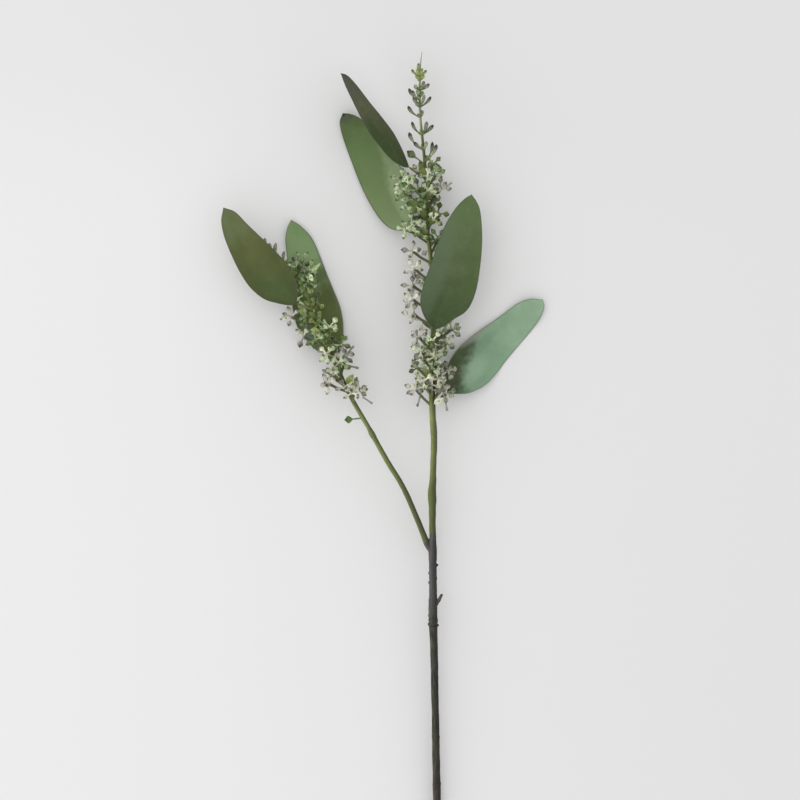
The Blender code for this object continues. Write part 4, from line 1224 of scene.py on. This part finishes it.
def add_bract(skin, entry):
    """A small pointed leaf, folded a little along its middle."""
    root, tip, width, tone, light = entry
    root = Vector(root)
    way = Vector(tip) - root
    across = way.cross(Vector((0, 0, 1))).normalized()
    up = across.cross(way).normalized()
    rings = []
    for row in range(BRACT_ROWS + 1):
        share = row / BRACT_ROWS
        half = max(width / 2 * math.sin(math.pi * share ** 0.85) ** 0.8, 0.18)
        middle = root + way * share + up * 0.9 * math.sin(math.pi * share)
        top = []
        bottom = []
        for column in range(2 * BRACT_HALF_COLUMNS + 1):
            place = column / BRACT_HALF_COLUMNS - 1
            point = middle + across * half * place + up * half * 0.35 * abs(place)
            thick = up * (0.12 + 0.1 * (1 - abs(place)))
            top.append(point + thick)
            bottom.append(point - thick)
        rings.append(skin.add(top + list(reversed(bottom)), (0.34 + 0.25 * share ** 3, tone, light)))
    skin.close(rings)


def add_spike(skin, axis, tiers, draw):
    """Slender buds in tiers on the end of a spray, each curving up from a small green scale."""
    for y, reaches in tiers:
        start = place_on(axis, y)[0]
        for reach in reaches:
            reach = Vector(reach)
            length = min(SPIKE_BUD_LENGTH * 1.4, 0.8 * reach.length)
            stalk = reach.length - length
            outward = Vector((reach.x, -abs(reach.x) * 0.4, 0)).normalized()
            bend = outward * 0.11 * reach.length * draw.uniform(0.4, 1.2)
            add_curved_bud(skin, start, reach, stalk / reach.length, bend, y > YOUNG_SPIKE, draw)
            scale = Vector((math.copysign(draw.uniform(1.4, 2.4), reach.x), draw.uniform(2.6, 4.2), 1.0))
            tone = -0.3 if y > YOUNG_SPIKE else draw.uniform(0.0, 0.2)
            add_bract(skin, (tuple(start), tuple(start + scale), 2.0, tone, draw.uniform(0.6, 0.9)))


def add_curved_bud(skin, start, reach, stalk_share, bend, young, draw):
    """A slender bud of a spike. A bud that reaches far to a side is darker at its tip."""
    base_tone = draw.uniform(-0.5, -0.3) if young else draw.uniform(0.08, 0.3)
    tip_tone = draw.uniform(0.0, 0.2) if young else draw.uniform(0.6, 1.0)
    light = draw.uniform(0.72, 0.92) if young else draw.uniform(0.34, 0.62)
    girth = draw.uniform(0.75, 0.9) if young else draw.uniform(0.95, 1.2)
    darkest = 1.05 if abs(reach.x) > 4.4 else 0.8
    rows = []
    marks = []
    shares = [(stalk_share * part, PEDICEL_RADIUS * (1.5 - 0.5 * part)) for part in (0.0, 0.35, 0.7)]
    for part, thickness in SLENDER_PROFILE:
        shares.append((stalk_share + (1 - stalk_share) * part, SPIKE_BUD_RADIUS * girth * thickness))
    for share, radius in shares:
        rows.append(tuple(start + reach * share + bend * math.sin(math.pi * share)) + (radius,))
        tone = base_tone + (tip_tone - base_tone) * share
        marks.append((0.42 + (darkest - 0.42) * share ** 2, tone, light * (0.8 + 0.2 * share)))
    skin.tube(rows, BUD_SIDES, marks)


def spray_buds(name, spray, node, material):
    """Everything that stands on a spray's branch below its end spike."""
    axis = spray["axis"]
    seed = spray["seed"]
    draw = random.Random(seed)
    more = random.Random(seed + MORE_BUDS_SEED)
    fill = fill_umbels(axis, spray["fill"], random.Random(seed + FILL_SEED))
    young = fill_bracts(axis, spray["young_leaves"], random.Random(seed + YOUNG_LEAVES_SEED))
    skin = Skin()
    for umbel in spray["umbels"] + fill + spray["more_umbels"]:
        add_umbel(skin, axis, umbel, draw, more)
    for entry in spray["lone_buds"]:
        add_lone_bud(skin, axis, entry, CUP_PROFILE if entry in MAIN_CUPS else BUD_PROFILE)
    for entry in spray["bare_stalks"]:
        add_bare_stalk(skin, entry)
    for entry in spray["bracts"] + young:
        add_bract(skin, entry)
    dress(skin.piece(name, material), "green_shoot", node)


def spike_buds(name, spray, node, material):
    skin = Skin()
    add_spike(skin, spray["axis"], spray["tiers"], random.Random(spray["spike_seed"]))
    dress(skin.piece(name, material), "green_shoot", node)


# Leaves

def across_at(column):
    """A blade column's place across the leaf, from the left margin (-1) to the right one (1)."""
    return math.sin(math.pi / 2 * (2 * column / BLADE_COLUMNS - 1))


def even_points(margin, shares):
    """Points of a smooth margin at the given shares of its length."""
    path = [Vector(point) for point in smooth_path(margin, MARGIN_STEPS)]
    lengths = [0.0]
    for near, far in zip(path, path[1:]):
        lengths.append(lengths[-1] + (far - near).length)
    found = []
    for share in shares:
        target = share * lengths[-1]
        index = next(i for i in range(1, len(path)) if lengths[i] >= target or i == len(path) - 1)
        part = (target - lengths[index - 1]) / (lengths[index] - lengths[index - 1])
        found.append(path[index - 1].lerp(path[index], part))
    return found


def height_at(heights, share):
    """The midrib's height at a share of the leaf's length."""
    rows = smooth_path([(height,) for height in heights], HEIGHT_STEPS)
    place = share * (len(rows) - 1)
    index = min(int(place), len(rows) - 2)
    return rows[index][0] + (rows[index + 1][0] - rows[index][0]) * (place - index)


def leaf_relief(flat, across, half, along, phase):
    """How far the blade's surface rises from its plain form: midrib groove, soft waves and a wavy margin."""
    groove = -0.12 * math.exp(-(across * half / 1.1) ** 2)
    waves = 0.9 * noise.noise(Vector((flat.x / 19, flat.y / 19, phase))) * (0.35 + 0.65 * across ** 2)
    margin = 0.4 * math.sin(along / 4.7 + phase) * abs(across) ** 3 * min(half / 10, 1.0)
    return groove + waves + margin


def blade_rows(leaf, phase):
    """Rows of points across the blade's middle surface, and each row's share, half width and distance."""
    turns = [math.pi * (row + END_ROW) / (BLADE_ROWS - 1 + 2 * END_ROW) for row in range(BLADE_ROWS)]
    shares = [0.5 - 0.5 * math.cos(turn) for turn in turns]
    left = even_points([leaf["base"]] + leaf["left"] + [leaf["tip"]], shares)
    right = even_points([leaf["base"]] + leaf["right"] + [leaf["tip"]], shares)
    length = (Vector(leaf["tip"]) - Vector(leaf["base"])).length
    rows = []
    facts = []
    for share, near, far in zip(shares, left, right):
        roll = leaf["roll"][0] + (leaf["roll"][1] - leaf["roll"][0]) * share
        half = (far - near).length / 2
        row = []
        for column in range(BLADE_COLUMNS + 1):
            across = across_at(column)
            flat = near.lerp(far, (across + 1) / 2)
            rise = half * (2 * roll * across + leaf["curl"] * across ** 2)
            rise += leaf_relief(flat, across, half, share * length, phase)
            row.append(Vector((flat.x, flat.y, height_at(leaf["heights"], share) + rise)))
        rows.append(row)
        facts.append((share, half, share * length))
    return rows, facts


def blade_normals(rows):
    """The upward direction of the surface at each point of the rows."""
    normals = []
    for index, row in enumerate(rows):
        before = rows[max(index - 1, 0)]
        after = rows[min(index + 1, len(rows) - 1)]
        line = []
        for column in range(len(row)):
            ahead = after[column] - before[column]
            across = row[min(column + 1, len(row) - 1)] - row[max(column - 1, 0)]
            line.append(across.cross(ahead).normalized())
        normals.append(line)
    return normals


def stalk_ring(point, across, up, radius):
    """A leaf stalk's ring, with its points in the order of a blade's ring."""
    top = []
    bottom = []
    for column in range(BLADE_COLUMNS + 1):
        turn = math.pi * (1 - (column + 0.5) / (BLADE_COLUMNS + 1))
        top.append(point + (across * math.cos(turn) + up * math.sin(turn)) * radius)
        bottom.append(point + (across * math.cos(turn) - up * math.sin(turn)) * radius)
    return top + list(reversed(bottom))


def blade_ring(row, normals):
    """The blade's top points from left to right, then its bottom points back."""
    top = []
    bottom = []
    for column, (point, normal) in enumerate(zip(row, normals)):
        across = across_at(column)
        thickness = MARGIN_THICKNESS + (BLADE_THICKNESS - MARGIN_THICKNESS) * (1 - across ** 4)
        low = point - normal * thickness / 2
        high = point + normal * thickness / 2
        low.z = max(low.z, 0.0)
        high.z = max(high.z, low.z + thickness)
        top.append(high)
        bottom.append(low)
    return top + list(reversed(bottom))


def blade_marks(fact):
    """The marks of a blade ring: distance across, along and from the margin, then place and side."""
    share, half, along = fact
    marks = []
    places = []
    for below, columns in ((0.0, range(BLADE_COLUMNS + 1)), (1.0, reversed(range(BLADE_COLUMNS + 1)))):
        for column in columns:
            across = across_at(column)
            marks.append((across * half, along, (1 - abs(across)) * half))
            places.append((share, across, below))
    return marks, places


def leaf_piece(name, leaf, phase, material):
    """A leaf with its stalk, as one closed skin."""
    rows, facts = blade_rows(leaf, phase)
    normals = blade_normals(rows)
    axis, y = leaf["seat"]
    seat, radius, along = place_on(axis, y)
    bends = [Vector(point) for point in leaf["bends"]]
    base = rows[0][BLADE_COLUMNS // 2]
    path = [Vector(point) for point in smooth_path([seat, *bends, base], PETIOLE_STEPS)]
    blade_across = rows[1][-1] - rows[1][0]
    skin = Skin()
    rings = []
    for index, point in enumerate(path[:-1]):
        ahead = (path[index + 1] - path[max(index - 1, 0)]).normalized()
        across = (blade_across - ahead * blade_across.dot(ahead)).normalized()
        share = index / (len(path) - 1)
        thickness = PETIOLE_RADIUS * (1 + 0.5 * math.exp(-share * 8) - 0.15 * share)
        ring = stalk_ring(point, across, across.cross(ahead), thickness)
        rings.append(skin.add(ring, (0.0, 0.0, 9.0), (share * 0.06 - 0.1, 0.0, 0.0)))
    for row, line, fact in zip(rows, normals, facts):
        ring = skin.add(blade_ring(row, line), (0.0, 0.0, 0.0))
        marks, places = blade_marks(fact)
        skin.marks[ring[0]:] = marks
        skin.places[ring[0]:] = places
        rings.append(ring)
    skin.close(rings)
    piece = skin.piece(name + "_blade", material)
    dress(piece, "leaf", name)


# Stage: strengths of the sky near the horizon and overhead, then the key light's strength, the angle that it
# fills and where it shines from
SKY_AROUND = 1.72
SKY_OVERHEAD = 0.55
KEY_STRENGTH = 0.36
KEY_ANGLE = math.radians(60)
KEY_FROM = (-0.3, 0.2, 0.93)


def floor():
    """A wide floor just under the sprig."""
    half = 15.0
    level = -0.0003
    data = bpy.data.meshes.new("floor")
    corners = [(x, y, level) for x, y in ((-half, -half), (half, -half), (half, half), (-half, half))]
    data.from_pydata(corners, [], [(0, 1, 2, 3)])
    data.materials.append(floor_material("floor"))
    obj = bpy.data.objects.new("floor", data)
    bpy.context.scene.collection.objects.link(obj)


def lights():
    """An even sky and one large, soft key light."""
    world = bpy.data.worlds.new("studio")
    bpy.context.scene.world = world
    world.use_nodes = True
    tree = world.node_tree
    background = tree.nodes["Background"]
    background.inputs["Color"].default_value = (1.0, 0.995, 0.99, 1.0)
    height = parts_of(tree, add_node(tree, "TexCoord", {}).outputs["Generated"])[2]
    tree.links.new(span(tree, height, 0.0, 1.0, SKY_AROUND, SKY_OVERHEAD), background.inputs["Strength"])
    key = bpy.data.lights.new("key", "SUN")
    key.energy = KEY_STRENGTH
    key.angle = KEY_ANGLE
    key.color = (1.0, 0.985, 0.96)
    lamp = bpy.data.objects.new("key", key)
    lamp.rotation_euler = Vector(KEY_FROM).to_track_quat("Z", "Y").to_euler()
    bpy.context.scene.collection.objects.link(lamp)


def camera():
    """Straight above, aimed at the middle of the photograph's frame."""
    middle = (0.0119, 0.0462)
    height = 3.5
    frame_width = 0.56
    middle_height = 0.015
    sensor = 36.0
    lens = bpy.data.cameras.new("camera")
    lens.sensor_width = sensor
    lens.lens = sensor * (height - middle_height) / frame_width
    lens.clip_end = 100.0
    obj = bpy.data.objects.new("camera", lens)
    obj.location = (*middle, height)
    bpy.context.scene.collection.objects.link(obj)
    bpy.context.scene.camera = obj


def main():
    bark = stem_material("bark")
    green = stem_material("green_shoot")
    buds = bud_material("buds")
    bark_stem(bark)
    cut_face(cut_material("cut_wood"))
    for name, spray in SPRAYS.items():
        branch(name + "_branch", spray["axis"], name + "_spray", green)
    for name, spray in SPRAYS.items():
        spray_buds(name + "_buds", spray, name + "_spray", buds)
    for name, spray in SPRAYS.items():
        spike_buds(name + "_spike", spray, name + "_spray", buds)
    for index, (name, leaf) in enumerate(LEAVES.items()):
        material = leaf_material(name, *LEAF_COLOURS_AND_SHADING[name], LEAF_LIGHT_AND_SHADE_PATCHES[name])
        leaf_piece(name, leaf, WAVE_SHIFT * index, material)
    floor()
    lights()
    camera()
    bpy.context.scene.view_settings.view_transform = "Standard"


main()
